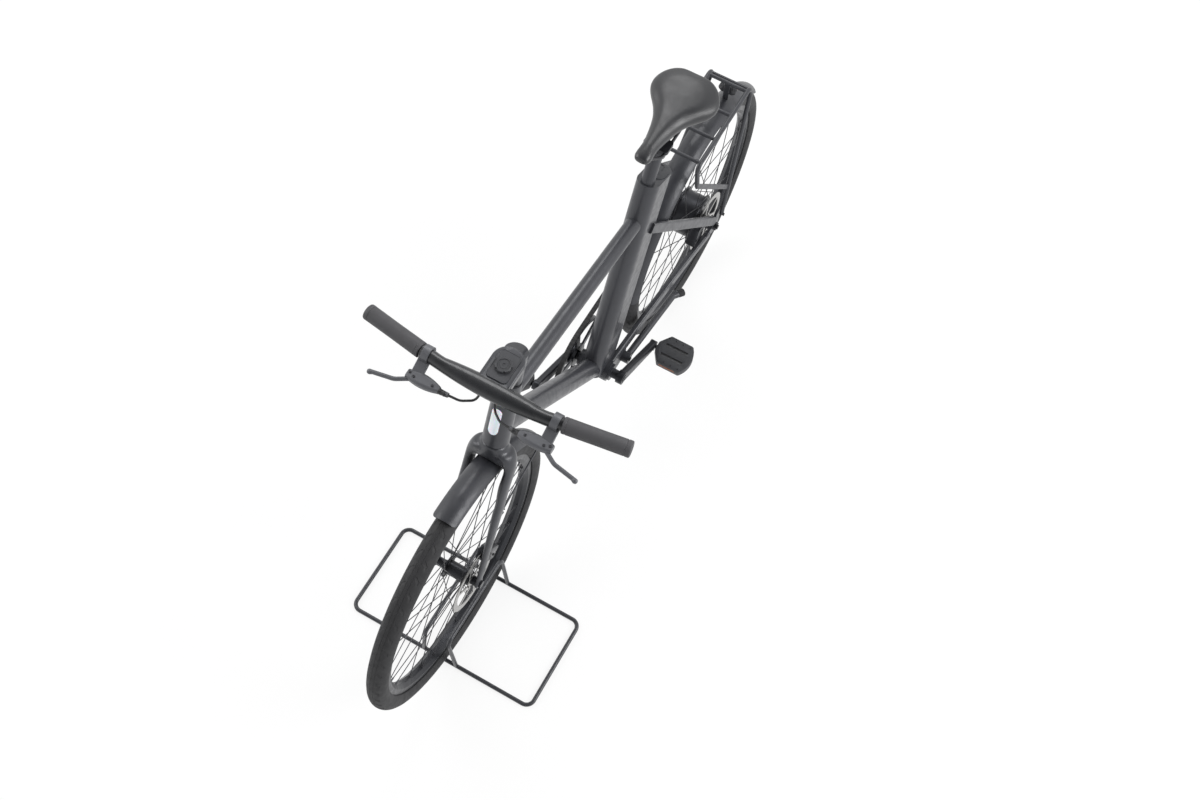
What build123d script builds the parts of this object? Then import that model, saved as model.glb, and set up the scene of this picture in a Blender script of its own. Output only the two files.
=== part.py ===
"""Electric city bike in a wheel-holding floor stand, one STEP file per piece.

Millimetres.  +X points forward, +Y to the rider's left, +Z up.  The origin is
on the floor, midway along the bike.  Names ending in _X, _Y or _Z are places,
_R radii, _T thicknesses, _W and _H widths and heights, _GAP clearances.
"""
from build123d import *
import os
from math import asin, cos, degrees, radians, sin, sqrt, tan

# ---------------------------------------------------------------- clearances
RUN_FIT = 0.05          # radial play of a shaft in its bearing
SEAT_GAP = 0.2          # between pieces that are pressed or clamped together
FACE_GAP = 0.5          # between a turning face and the fixed face beside it
GUARD_GAP = 10.0        # tyre to mudguard
OVER = 5.0              # how far a cutting tool passes the face it cuts

# -------------------------------------------------------------------- wheels
WHEELBASE = 1100.0
TYRE_W = 47.0           # as tall as it is wide
BEAD_R = 292.0          # where the tyre sits on the rim
WHEEL_R = BEAD_R + TYRE_W
RIM_W = 27.0
RIM_WALL = 2.0
RIM_FLANGE = 6.0        # height of the rim's hook above the bead seat
RIM_DEPTH = 15.0        # from the bead seat in to the spoke holes
RIM_IN_R = BEAD_R - RIM_DEPTH
RIM_IN_W = 12.0
RIM_SHOULDER = 8.0      # from the inner edge to where the sides stand straight
SPOKE_R = 1.0
SPOKE_COUNT = 32
SPOKE_TURN = 50.6       # degrees round the hub between a spoke's two ends
SPOKE_GAP = 1.4         # flange face to spoke, at the hub
SPOKE_RIM_Y = 2.0
FLANGE_T = 3.5
FLANGE_LAND = 4.0       # from the spoke holes to the flange's edge

# -------------------------------------------------------------------- brakes
ROTOR_R = 80.0
ROTOR_T = 1.8
ROTOR_BAND = 15.0       # width of the braking ring
ROTOR_ARMS = 6
ROTOR_ARM_W = 7.0
ROTOR_ARM_LEAN = 32.0   # degrees
ROTOR_CARRIER_R = 17.0
ROTOR_LAND_R = 22.0
FRONT_ROTOR_Y = 39.0
REAR_ROTOR_Y = 46.0
CALIPER_IN = 9.0        # rotor's middle to the inner face
CALIPER_OUT = 15.0
CALIPER_LEN = 58.0
CALIPER_H = 34.0
PAD_GAP = 1.2
FRONT_CALIPER_ANGLE = 142.0
REAR_CALIPER_ANGLE = 24.0

# ------------------------------------------------------------- frame geometry
HEAD_ANGLE = 70.0
FORK_OFFSET = 45.0
HEAD_LOW_Z = 700.0      # lower end of the head tube, on the steering axis
HEAD_LEN = 172.0
HEAD_TOP_R = 26.5
HEAD_LOW_R = 29.0
HEADSET_R = 21.5
HEADSET_H = 16.0
HEADSET_LIP = 3.0
LIGHT_H = 72.0
LIGHT_W = 22.0
LIGHT_T = 2.0
LIGHT_UP = 0.43         # share of the head tube's length
BB_BACK = 630.0         # bottom bracket behind the front axle
BB_Z = 290.0
SEAT_ANGLE = 68.0
SEAT_DEPTH = 108.0      # the seat tube is a long oval that holds the battery
SEAT_WIDTH = 54.0
SEAT_LEN = 566.0
SEAT_WALL = 4.0
TOP_TUBE_R = 18.5
TOP_TUBE_HEAD_Z = 815.0
TOP_TUBE_SEAT_UP = 468.0   # where the top tube meets the seat tube, from the bracket
DOWN_TUBE_R = 24.5
DOWN_TUBE_HEAD_Z = 742.0
SHELL_R = 26.0
SHELL_HALF = 37.0
CUP_R = 21.0
CUP_T = 7.0
BAY_DEPTH = 64.0        # the battery's bay in the rear of the seat tube
BAY_WIDTH = 46.0
BAY_LEN = 430.0
BAY_FIT = 0.5
CAP_T = 14.0
CAP_PROUD = 2.0
TAB_LEN = 34.0
TAB_WIDTH = 13.0
STAY_W = 13.0
STAY_H = 32.0
STAY_IN_Y = 30.5        # inner face beside the tyre
STAY_ROUND = 4.0
DROPOUT_T = 7.0
DROPOUT_R = 20.0
LUG_LEN = 50.0          # where the stay is welded to the dropout plate
LUG_FORE = 22.0
EAR_BACK = 14.0         # ear that carries the rack's foot
EAR_UP = 46.0
EAR_R = 10.0
SEAT_STAY_UP = 432.0    # root on the seat tube, from the bracket
SEAT_STAY_W = 12.0
SEAT_STAY_H = 25.0

# ----------------------------------------------------------------- front hub
FRONT_HUB_HALF = 50.0
FRONT_AXLE_R = 6.0
AXLE_HEAD_R = 9.0
AXLE_HEAD_T = 5.0
FRONT_FLANGE_R = 27.0
FRONT_FLANGE_Y = 24.0
HUB_BARREL_R = 17.0
HUB_END_R = 10.5

# --------------------------------------------------------------- rear motor
REAR_HALF = 66.0        # inside of the dropouts
REAR_AXLE_R = 6.0
NUT_R = 10.5
NUT_T = 7.0
AXLE_PROUD = 10.0
MOTOR_R = 56.0
MOTOR_HALF = 33.0
MOTOR_ROUND = 8.0
MOTOR_FLANGE_R = 62.0
MOTOR_FLANGE_Y = 26.0
MOTOR_END_R = 15.0
COG_LAND_R = 24.0
COG_BORE_R = 14.0

# --------------------------------------------------------------- drive train
CHAINLINE = 54.0
FRONT_COG_R = 104.0
REAR_COG_R = 42.0
COG_RIM = 9.0
COG_MIDDLE_R = 30.0
COG_ARMS = 5
COG_ARM_W = 16.0
COG_ARM_START = 18.0    # degrees
BELT_W = 11.0
BELT_T = 4.5
BELT_GAP = 0.3
SPINDLE_R = 12.0
CRANK_LEN = 170.0
CRANK_DIP = 25.0        # degrees that the left arm points below straight back
CRANK_IN_Y = 60.0       # inner face of the arm at the bracket
CRANK_OUT_Y = 69.0      # inner face of the arm at the pedal
CRANK_T = 16.0
CRANK_ROUND = 4.0
CRANK_BOSS_R = 17.0
SPINDLE_SEAT = 3.0      # metal left outside the spindle's end
PEDAL_BOSS_R = 12.5
PEDAL_AXLE_R = 5.0
PEDAL_LEN = 82.0
PEDAL_W = 95.0
PEDAL_T = 19.0
PEDAL_ROUND = 6.0
PEDAL_NOSE = 12.0       # half width of its flat inner end
PEDAL_SHOULDER = 20.0   # where the sloping inner corners reach its sides
PEDAL_BULGE = 15.0      # height of the round outer end
PEDAL_GAP = 4.5         # crank arm to pedal body
PEDAL_SLOT_X = 15.0
PEDAL_SLOT_W = 7.0
PEDAL_SLOT_LEN = 60.0

# ----------------------------------------------------------------------- fork
FORK_TIP_T = 8.0
FORK_TIP_R = 13.0
FORK_TOP_GAP = 0.6
ARCH_GAP = 6.0          # mudguard to the underside of the crown
ARCH_HALF = 33.0        # half width between the blades
CROWN_NECK_DOWN = 12.0  # the crown widens from the head tube's size
CROWN_NECK_OUT = 3.0
CROWN_BELLY_DOWN = 30.0
CROWN_BELLY_OUT = 11.0
CROWN_BELLY_IN = 2.0
CROWN_FOOT_OUT = 13.0
CROWN_FOOT_IN = 6.0
LEG_ROOT_DOWN = 16.0    # the blades start this far below the crown's top
LEG_ROOT_Y = 24.0
LEG_ROOT_W = 40.0
LEG_ROOT_D = 50.0
LEG_TURN_DOWN = 34.0    # where the shoulder turns down into the blade
LEG_TURN_Y = 38.0
LEG_TURN_W = 31.0
LEG_TURN_D = 46.0
LEG_KNEE_DOWN = 52.0    # and stand straight from here
LEG_KNEE_Y = 44.5
LEG_W = 24.0            # at the knee
LEG_D = 40.0
LEG_TIP_D = 24.0
LEG_STEPS = 8
LEG_EYE_SHARE = 0.46    # place of the mudguard stay's eye along the blade
LEG_EYE_OUT = 24.0
LEG_EYE_R = 5.0
STAY_WIRE_R = 2.0
STAY_ANGLE = 160.0      # where the stay holds the front mudguard, degrees

# -------------------------------------------------------------------- cockpit
BAR_Z = 935.0
BAR_REACH = 96.0        # bar ahead of the steering axis
BAR_R = 14.0
BAR_HALF = 288.0
BAR_BEND_Y = 112.0      # the bar sweeps back outside this
BAR_BEND_R = 180.0
BAR_SWEEP = 8.5
BAR_SWELL_DEPTH = 40.0  # the bar is an oval between the levers
BAR_SWELL_H = 31.0
BAR_SWELL_Y = 40.0
BAR_SWELL_END_Y = 124.0
STEERER_R = 14.3
STEERER_TOP_Z = BAR_Z - 14.0
STEM_GAP = 1.0
PLATE_W = 68.0
PLATE_T = 24.0
PLATE_BACK = 96.0       # rear end of the stem block, behind the bar
PLATE_FORE = 12.0
PLATE_CORNER_R = 32.0
PLATE_EDGE_R = 4.0
PLATE_BEVEL = 8.0
MOUNT_LEN = 66.0        # inset plate of the phone mount
MOUNT_W = 46.0
MOUNT_T = 2.0
MOUNT_CORNER_R = 8.0
DISC_R = 17.0
DISC_T = 6.0
GRIP_R = 17.0
GRIP_LEN = 132.0
GRIP_END_T = 3.0

# --------------------------------------------------------------- brake levers
LEVER_Y = BAR_HALF - GRIP_LEN - 14.0
LEVER_ARM = 46.0        # the body stands this far ahead of the bar
LEVER_DROP = 20.0       # and this far below it
LEVER_CLAMP_R = 18.0
LEVER_CLAMP_HALF = 8.0
LEVER_ARM_W = 25.0
LEVER_ARM_T = 9.0
POD_OUT = 18.0          # the body's ends, out and in from the arm
POD_IN = 54.0
POD_W = 26.0
POD_H = 17.0
NOSE_LEN = 20.0
NOSE_R = 5.0
BLADE_R = 4.5
BLADE_BEND_R = 30.0
BLADE_REACH = 84.0
HOSE_R = 2.5
HOSE_PORT_Y = 16.0

# ----------------------------------------------------------- saddle and post
POST_R = 15.4
POST_TOP_Z = 905.0
POST_IN_LEN = 250.0     # length of post inside the seat tube
POST_BORE_LEN = POST_IN_LEN + 10
POST_HEAD_R = 13.0
POST_HEAD_HALF = 19.0
SADDLE_LEN = 250.0
SADDLE_W = 152.0
SADDLE_H = 42.0
SADDLE_TOP_Z = 986.0
SADDLE_BACK = 376.0     # rear end of the saddle behind the bracket
RAIL_R = 3.5
RAIL_HALF = 22.0
RAIL_FRONT_HALF = 9.0
RAIL_REAR_HALF = 34.0
RAIL_BEND_R = 30.0
RAIL_SINK = 4.0
CLAMP_LEN = 34.0
CLAMP_W = 58.0
CLAMP_T = 9.0

# --------------------------------------------------------- mudguards and rack
GUARD_W = 58.0
GUARD_T = 2.0
GUARD_DROP = 15.0       # how far its edges come down beside the tyre
BOSS_R = 7.0            # its fixing bosses
BOSS_SINK = 0.5
REAR_GUARD_FROM = 10.0  # degrees round the wheel from straight ahead
REAR_GUARD_TO = 140.0
FRONT_GUARD_FROM = 86.0
GUARD_CORNER_R = 14.0
FRONT_GUARD_TO = 166.0
RACK_Z = 727.0
RACK_HALF = 50.0
RACK_R = 5.5
RACK_BAR_R = 4.5
RACK_FRONT_BACK = 967.0     # behind the front axle
RACK_REAR_BACK = 1245.0
RACK_FRONT_BEND_R = 16.0
RACK_REAR_BEND_R = 22.0
RACK_BARS = (981.0, 1056.0, 1134.0, 1215.0)
RACK_LAST_BAR = (1232.0, 12.0)   # behind the front axle, below the rails
RACK_FOOT_GAP = 1.4         # the leg leans in above its foot
RACK_FOOT_DROP = 6.0
RACK_KNEE_BACK = 976.0      # lower end of the front leg
RACK_KNEE_Z = 646.0
RACK_KNEE_OUT = 3.0
RACK_STRUT_SHARE = 0.78     # where the strut meets the rear leg
STRUT_T = 3.0
STRUT_W = 13.0
TAB_T = 3.0             # tab from the rack to the mudguard
TAB_W = 14.0
TAB_DROP = 90.0
LAMP_W = 44.0
LAMP_H = 24.0
LAMP_T = 14.0
LAMP_ROUND = 3.0
LAMP_DROP = 27.0

# ----------------------------------------------------------------- kickstand
KICK_BACK = 72.0        # pivot behind the bracket
KICK_DROP = 36.0        # and below it
KICK_LEN = 232.0
KICK_R = 8.5
KICK_SPLAY = 15.0       # how far out the foot stands from the pivot
KICK_FALL = 12.0
KICK_Y = 45.0
KICK_PIN_R = 5.0
KICK_EYE_R = 14.0
KICK_HALF = KICK_R + 0.5
KICK_FOOT_R = 9.0
KICK_PLATE_LEN = 64.0
KICK_PLATE_FORE = 16.0
KICK_PLATE_H = 40.0
KICK_PLATE_UP = 8.0

# ------------------------------------------------------------- display stand
STAND_BACK = 11.0       # its middle behind the front axle
STAND_WIRE_R = 5.0
STAND_LEN = 238.0
STAND_WIDTH = 495.0
STAND_BEND_R = 20.0
HOOP_HALF = 30.0        # wheel's middle to the wire's middle, at the top
HOOP_FOOT = 45.0
HOOP_Z = 152.0

# --------------------------------------------------------------- derived places
GUARD_IN_R = WHEEL_R + GUARD_GAP
GUARD_OUT_R = GUARD_IN_R + GUARD_T
REAR_REACH = max(WHEEL_R, -GUARD_OUT_R * cos(radians(REAR_GUARD_TO)))
FRONT_X = (WHEELBASE + REAR_REACH - WHEEL_R) / 2
REAR_X = FRONT_X - WHEELBASE
BB_X = FRONT_X - BB_BACK
FRONT_AXLE = Vector(FRONT_X, 0, WHEEL_R)
REAR_AXLE = Vector(REAR_X, 0, WHEEL_R)
BRACKET = Vector(BB_X, 0, BB_Z)
KICK_PIVOT = Vector(BB_X - KICK_BACK, 0, BB_Z - KICK_DROP)
RAIL_Z = POST_TOP_Z + POST_HEAD_R + RAIL_R + SEAT_GAP
COG_IN_Y = -CHAINLINE + BELT_W / 2
COG_OUT_Y = -CHAINLINE - BELT_W / 2
PEDAL_IN_Y = CRANK_OUT_Y + CRANK_T + PEDAL_GAP

STEER_DIR = Vector(-cos(radians(HEAD_ANGLE)), 0, sin(radians(HEAD_ANGLE)))
STEER_FORE = Vector(sin(radians(HEAD_ANGLE)), 0, cos(radians(HEAD_ANGLE)))
STEER_FOOT = FRONT_AXLE - STEER_FORE * FORK_OFFSET
SEAT_DIR = Vector(-cos(radians(SEAT_ANGLE)), 0, sin(radians(SEAT_ANGLE)))
SEAT_FORE = Vector(sin(radians(SEAT_ANGLE)), 0, cos(radians(SEAT_ANGLE)))
CROWN_ANGLE = 180 - HEAD_ANGLE + degrees(asin(FORK_OFFSET / (GUARD_OUT_R + ARCH_GAP)))
POST_FORE = SEAT_DEPTH / 2 - SEAT_WALL - POST_R - SEAT_GAP
BAY_BACK = SEAT_DEPTH / 2 - SEAT_WALL - BAY_DEPTH / 2


def on_steering(z):
    """Point of the steering axis at height z."""
    return STEER_FOOT + STEER_DIR * ((z - STEER_FOOT.Z) / STEER_DIR.Z)


def on_seat_tube(up, fore=0.0, side=0.0):
    """Point on the seat tube's own axes, up from the bracket."""
    return BRACKET + SEAT_DIR * up + SEAT_FORE * fore + Vector(0, side, 0)


BAR_X = on_steering(BAR_Z).X + BAR_REACH


# -------------------------------------------------------------------- helpers
def rod(start, end, radius):
    """Round bar between two points."""
    start, end = Vector(start), Vector(end)
    plane = Plane(origin=start, z_dir=end - start)
    return extrude(plane * Circle(radius), amount=(end - start).length)


def across(centre, radius, low_y, high_y):
    """Cylinder along Y through centre, between two y values."""
    return rod((centre.X, low_y, centre.Z), (centre.X, high_y, centre.Z), radius)


def across_side(centre, radius, side, in_y, out_y):
    """The same on one side of the bike, from an inner to an outer distance."""
    return across(centre, radius, *sorted((side * in_y, side * out_y)))


def wire_tube(points, radius, bends):
    """Round tube along straight runs joined by tangent arcs."""
    path = FilletPolyline(*points, radius=bends)
    start = Plane(origin=path @ 0, z_dir=path % 0)
    return sweep(start * Circle(radius), path=path)


def side_plate(outline, low_y, high_y):
    """Flat plate: a face drawn in (x, z), from low_y to high_y."""
    plane = Plane(origin=(0, low_y, 0), x_dir=(1, 0, 0), z_dir=(0, -1, 0))
    return extrude(plane * outline, amount=low_y - high_y)


def ring_of_revolution(section, axle):
    """Turn a section drawn in (radius, y) about an axle along Y."""
    plane = Plane(origin=axle, x_dir=(1, 0, 0), z_dir=(0, 0, 1))
    return revolve(plane * section, axis=Axis(axle, (0, 1, 0)))


def loft_between(stations, x_dir=(0, 1, 0)):
    """Loft through (centre, direction, face) stations; x_dir is each face's own x."""
    faces = [Plane(origin=centre, x_dir=x_dir, z_dir=direction) * face
             for centre, direction, face in stations]
    return loft(faces)


def mirrored(part):
    """The same piece on the other side of the bike."""
    return part.mirror(Plane.XZ)


def polar(axle, radius, angle, y=0.0):
    """Point at an angle round an axle, from straight ahead towards up."""
    turn = radians(angle)
    return Vector(axle.X + radius * cos(turn), y, axle.Z + radius * sin(turn))


def solids_of(part):
    return list(part.solids())


def largest(part):
    """The main solid that a cut leaves."""
    return part.solids().sort_by(SortBy.VOLUME)[-1]


def both(part):
    """A piece and its mirror image, as two solids."""
    return Compound(children=[*solids_of(part), *solids_of(mirrored(part))])


# --------------------------------------------------------------------- wheels
def tyre(axle):
    """Round tyre whose beads sit between the rim's hooks."""
    half_seat = RIM_W / 2 - RIM_WALL - SEAT_GAP
    belly_r = TYRE_W / 2
    middle_r = WHEEL_R - belly_r
    seat_r = BEAD_R + SEAT_GAP
    lip_r = BEAD_R + RIM_FLANGE + SEAT_GAP
    lip_y = sqrt(belly_r ** 2 - (middle_r - lip_r) ** 2)
    tread = ThreePointArc((lip_r, lip_y), (WHEEL_R, 0), (lip_r, -lip_y))
    beads = Polyline((lip_r, -lip_y), (lip_r, -half_seat), (seat_r, -half_seat),
                     (seat_r, half_seat), (lip_r, half_seat), (lip_r, lip_y))
    return ring_of_revolution(make_face([*tread.edges(), *beads.edges()]), axle)


def rim(axle):
    hook_r = BEAD_R + RIM_FLANGE
    side_r = RIM_IN_R + RIM_SHOULDER
    seat_y = RIM_W / 2 - RIM_WALL
    outline = Polyline(
        (RIM_IN_R, -RIM_IN_W / 2), (side_r, -RIM_W / 2), (hook_r, -RIM_W / 2),
        (hook_r, -seat_y), (BEAD_R, -seat_y), (BEAD_R, seat_y), (hook_r, seat_y),
        (hook_r, RIM_W / 2), (side_r, RIM_W / 2), (RIM_IN_R, RIM_IN_W / 2), close=True)
    return ring_of_revolution(make_face(outline.edges()), axle)


def spokes(axle, flange_r, flange_y):
    """Crossed spokes: pairs on each flange, lying against its two faces."""
    hole_r = flange_r - FLANGE_LAND
    per_side = SPOKE_COUNT // 2
    step = 360 / per_side
    end_r = RIM_IN_R - 3 * SEAT_GAP
    beside = FLANGE_T / 2 + SPOKE_R + SPOKE_GAP
    found = []
    for side in (1, -1):
        for i in range(per_side):
            lean = 1 if i % 2 else -1
            hub_angle = i * step + (side < 0) * step / 2
            start = polar(axle, hole_r, hub_angle, side * (flange_y - lean * beside))
            end = polar(axle, end_r, hub_angle + lean * SPOKE_TURN, side * SPOKE_RIM_Y)
            found += solids_of(rod(start, end, SPOKE_R))
    return Compound(children=found)


def flange(axle, radius, middle_y):
    return across(axle, radius, middle_y - FLANGE_T / 2, middle_y + FLANGE_T / 2)


def front_hub():
    end_y = FRONT_HUB_HALF - FACE_GAP
    hub = across(FRONT_AXLE, HUB_BARREL_R, -FRONT_FLANGE_Y, FRONT_FLANGE_Y)
    hub += across(FRONT_AXLE, HUB_END_R, -end_y, end_y)
    hub += flange(FRONT_AXLE, FRONT_FLANGE_R, FRONT_FLANGE_Y)
    hub += flange(FRONT_AXLE, FRONT_FLANGE_R, -FRONT_FLANGE_Y)
    hub += across(FRONT_AXLE, ROTOR_CARRIER_R, FRONT_FLANGE_Y, FRONT_ROTOR_Y - ROTOR_T / 2)
    return hub - across(FRONT_AXLE, FRONT_AXLE_R + RUN_FIT, -end_y - OVER, end_y + OVER)


def front_axle():
    head_y = FRONT_HUB_HALF + FORK_TIP_T
    axle = across(FRONT_AXLE, FRONT_AXLE_R, -head_y, head_y)
    for side in (1, -1):
        axle += across_side(FRONT_AXLE, AXLE_HEAD_R, side, head_y, head_y + AXLE_HEAD_T)
    return axle


def rotor(axle, middle_y, bore_r):
    """Braking ring on leaning arms."""
    low, high = middle_y - ROTOR_T / 2, middle_y + ROTOR_T / 2
    band_r = ROTOR_R - ROTOR_BAND
    disc = across(axle, ROTOR_R, low, high) - across(axle, band_r, low - OVER, high + OVER)
    disc += across(axle, ROTOR_LAND_R, low, high)
    for i in range(ROTOR_ARMS):
        angle = i * 360 / ROTOR_ARMS
        start = polar(axle, ROTOR_CARRIER_R, angle)
        run = polar(axle, band_r + 2, angle + ROTOR_ARM_LEAN) - start
        arm = Pos(X=run.length / 2) * Rectangle(run.length, ROTOR_ARM_W)
        plane = Plane(origin=(start.X, low, start.Z), x_dir=run, z_dir=(0, 1, 0))
        disc += extrude(plane * arm, amount=ROTOR_T)
    return disc - across(axle, bore_r + SEAT_GAP, low - OVER, high + OVER)


def hub_motor():
    body = across(REAR_AXLE, MOTOR_R, -MOTOR_HALF, MOTOR_HALF)
    body = fillet(body.edges().filter_by(GeomType.CIRCLE), MOTOR_ROUND)
    body += flange(REAR_AXLE, MOTOR_FLANGE_R, MOTOR_FLANGE_Y)
    body += flange(REAR_AXLE, MOTOR_FLANGE_R, -MOTOR_FLANGE_Y)
    inside = MOTOR_HALF - 2
    end_y = REAR_HALF - FACE_GAP
    body += across(REAR_AXLE, ROTOR_LAND_R, inside, REAR_ROTOR_Y - ROTOR_T / 2)
    body += across(REAR_AXLE, MOTOR_END_R, inside, end_y)
    body += across(REAR_AXLE, COG_LAND_R, COG_IN_Y + SEAT_GAP, -inside)
    body += across(REAR_AXLE, COG_BORE_R, -end_y, -inside)
    return body - across(REAR_AXLE, REAR_AXLE_R + RUN_FIT, -end_y - OVER, end_y + OVER)


def rear_axle():
    """Axle that the motor turns on, with its two nuts."""
    nut_y = REAR_HALF + DROPOUT_T + SEAT_GAP
    end_y = REAR_HALF + DROPOUT_T + AXLE_PROUD
    axle = across(REAR_AXLE, REAR_AXLE_R, -end_y, end_y)
    for side in (1, -1):
        plane = Plane(origin=(REAR_X, side * nut_y, WHEEL_R), z_dir=(0, side, 0))
        axle += extrude(plane * RegularPolygon(NUT_R, 6), amount=NUT_T)
    return axle


# ---------------------------------------------------------------- drive train
def rear_sprocket():
    disc = across(REAR_AXLE, REAR_COG_R, COG_OUT_Y, COG_IN_Y)
    return disc - across(REAR_AXLE, COG_BORE_R + SEAT_GAP, COG_OUT_Y - OVER, COG_IN_Y + OVER)


def front_sprocket():
    """Belt ring on open arms."""
    land_r = FRONT_COG_R - COG_RIM
    disc = across(BRACKET, FRONT_COG_R, COG_OUT_Y, COG_IN_Y)
    disc -= across(BRACKET, land_r, COG_OUT_Y - OVER, COG_IN_Y + OVER)
    disc += across(BRACKET, COG_MIDDLE_R, COG_OUT_Y + 2, COG_IN_Y - 2)
    for i in range(COG_ARMS):
        angle = COG_ARM_START + i * 360 / COG_ARMS
        start = polar(BRACKET, COG_MIDDLE_R - 10, angle)
        run = polar(BRACKET, land_r + 2, angle) - start
        plane = Plane(origin=(start.X, COG_OUT_Y + 3, start.Z), x_dir=run, z_dir=(0, 1, 0))
        arm = Pos(X=run.length / 2) * Rectangle(run.length, COG_ARM_W)
        disc += extrude(plane * arm, amount=BELT_W - 6)
    return disc - across(BRACKET, SPINDLE_R + SEAT_GAP, COG_OUT_Y - OVER, COG_IN_Y + OVER)


def belt_face(grow):
    front = Pos(BRACKET.X, BRACKET.Z) * Circle(FRONT_COG_R + grow)
    rear = Pos(REAR_AXLE.X, REAR_AXLE.Z) * Circle(REAR_COG_R + grow)
    return make_hull([*front.edges(), *rear.edges()])


def drive_belt():
    loop = side_plate(belt_face(BELT_GAP + BELT_T), COG_OUT_Y, COG_IN_Y)
    return loop - side_plate(belt_face(BELT_GAP), COG_OUT_Y - OVER, COG_IN_Y + OVER)


def crank_arm(angle, side):
    """Arm from the bracket to the pedal, flaring outwards, with the pedal's axle."""
    root = BRACKET + Vector(0, side * (CRANK_IN_Y + CRANK_T / 2), 0)
    tip = polar(BRACKET, CRANK_LEN, angle, side * (CRANK_OUT_Y + CRANK_T / 2))
    along = (tip - root).normalized()
    root_face = RectangleRounded(CRANK_T, 2 * (CRANK_BOSS_R - 1), CRANK_ROUND)
    tip_face = RectangleRounded(CRANK_T, 2 * (PEDAL_BOSS_R - 1), CRANK_ROUND)
    arm = loft_between([(root, along, root_face), (tip, along, tip_face)])
    arm += across_side(BRACKET, CRANK_BOSS_R, side, CRANK_IN_Y, CRANK_IN_Y + CRANK_T)
    arm += across_side(tip, PEDAL_BOSS_R, side, CRANK_OUT_Y, CRANK_OUT_Y + CRANK_T)
    return arm + across_side(tip, PEDAL_AXLE_R, side, CRANK_OUT_Y, PEDAL_IN_Y + PEDAL_W - 6)


def crank_left():
    arm = crank_arm(180 + CRANK_DIP, 1)
    seat_y = CRANK_IN_Y + CRANK_T - SPINDLE_SEAT
    return arm - across(BRACKET, SPINDLE_R + SEAT_GAP, CRANK_IN_Y - OVER, seat_y)


def crank_right():
    """Right arm with the spindle that runs through the bracket."""
    arm = crank_arm(CRANK_DIP, -1)
    end_y = CRANK_IN_Y + CRANK_T - SPINDLE_SEAT - SEAT_GAP
    arm += across(BRACKET, SPINDLE_R, -CRANK_IN_Y - 2, end_y)
    return arm + across(BRACKET, COG_LAND_R, -CRANK_IN_Y - CRANK_T + 2, COG_OUT_Y + 2 - SEAT_GAP)


def pedal_outline():
    """Platform seen from above: x along the bike, y out from its inner end."""
    half = PEDAL_LEN / 2
    side_top = PEDAL_W - PEDAL_BULGE
    inner = Polyline((-half, side_top), (-half, PEDAL_SHOULDER), (-PEDAL_NOSE, 0),
                     (PEDAL_NOSE, 0), (half, PEDAL_SHOULDER), (half, side_top))
    outer = ThreePointArc((half, side_top), (0, PEDAL_W), (-half, side_top))
    return make_face([*inner.edges(), *outer.edges()])


def pedal(side):
    """Flat pedal: a slotted platform on a bored barrel."""
    angle = 180 + CRANK_DIP if side > 0 else CRANK_DIP
    tip = polar(BRACKET, CRANK_LEN, angle)
    low = Plane(origin=(tip.X, PEDAL_IN_Y, tip.Z - PEDAL_T / 2))
    body = extrude(low * pedal_outline(), amount=PEDAL_T)
    body = fillet(body.edges().filter_by(Axis.Z), PEDAL_ROUND)
    for end in (1, -1):
        slot = Pos(end * PEDAL_SLOT_X, PEDAL_W / 2) * Rectangle(PEDAL_SLOT_W, PEDAL_SLOT_LEN)
        body -= extrude(low.offset(-OVER) * slot, amount=PEDAL_T + 2 * OVER)
    bore_y = PEDAL_IN_Y + PEDAL_W - 5.5
    body -= across_side(tip, PEDAL_AXLE_R + RUN_FIT, 1, PEDAL_IN_Y - 1, bore_y)
    return body if side > 0 else mirrored(body)


# ---------------------------------------------------------------------- frame
def head_tube_blank(grow=0.0):
    plane = Plane(origin=on_steering(HEAD_LOW_Z), x_dir=(0, 1, 0), z_dir=STEER_DIR)
    top_plane = plane.offset(HEAD_LEN)
    return loft([plane * Circle(HEAD_LOW_R + grow), top_plane * Circle(HEAD_TOP_R + grow)])


def head_tube():
    low = on_steering(HEAD_LOW_Z)
    bore = rod(low - STEER_DIR * OVER, low + STEER_DIR * (HEAD_LEN + OVER), HEADSET_R)
    return head_tube_blank() - bore


def headset():
    """Upper and lower bearing cups with the steerer's running bore."""
    low = on_steering(HEAD_LOW_Z)
    rings = []
    for base in (-HEADSET_LIP, HEAD_LEN - HEADSET_H):
        start = low + STEER_DIR * base
        end = start + STEER_DIR * (HEADSET_H + HEADSET_LIP)
        lip = start if base < 0 else end - STEER_DIR * HEADSET_LIP
        lip_t = HEADSET_LIP - SEAT_GAP if base < 0 else HEADSET_LIP
        ring = rod(start, end, HEADSET_R - SEAT_GAP)
        ring += rod(lip, lip + STEER_DIR * lip_t, HEAD_TOP_R - 1)
        ring -= rod(start - STEER_DIR, end + STEER_DIR, STEERER_R + RUN_FIT)
        rings += solids_of(ring)
    return Compound(children=rings)


def head_light():
    """Tall oval lens on the front of the head tube."""
    centre = on_steering(HEAD_LOW_Z) + STEER_DIR * (HEAD_LEN * LIGHT_UP)
    plane = Plane(origin=centre, x_dir=STEER_DIR, z_dir=STEER_FORE)
    block = extrude(plane * SlotOverall(LIGHT_H, LIGHT_W), amount=2 * HEAD_LOW_R)
    return largest((head_tube_blank(LIGHT_T) - head_tube_blank(SEAT_GAP)) & block)


def seat_plane(up):
    return Plane(origin=on_seat_tube(up), x_dir=SEAT_FORE, z_dir=SEAT_DIR)


def seat_tube_blank(grow=0.0):
    oval = SlotOverall(SEAT_DEPTH + 2 * grow, SEAT_WIDTH + 2 * grow)
    return extrude(seat_plane(0) * oval, amount=SEAT_LEN)


def bay_face(shrink=0.0):
    return Pos(X=-BAY_BACK) * SlotOverall(BAY_DEPTH - 2 * shrink, BAY_WIDTH - 2 * shrink)


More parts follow.
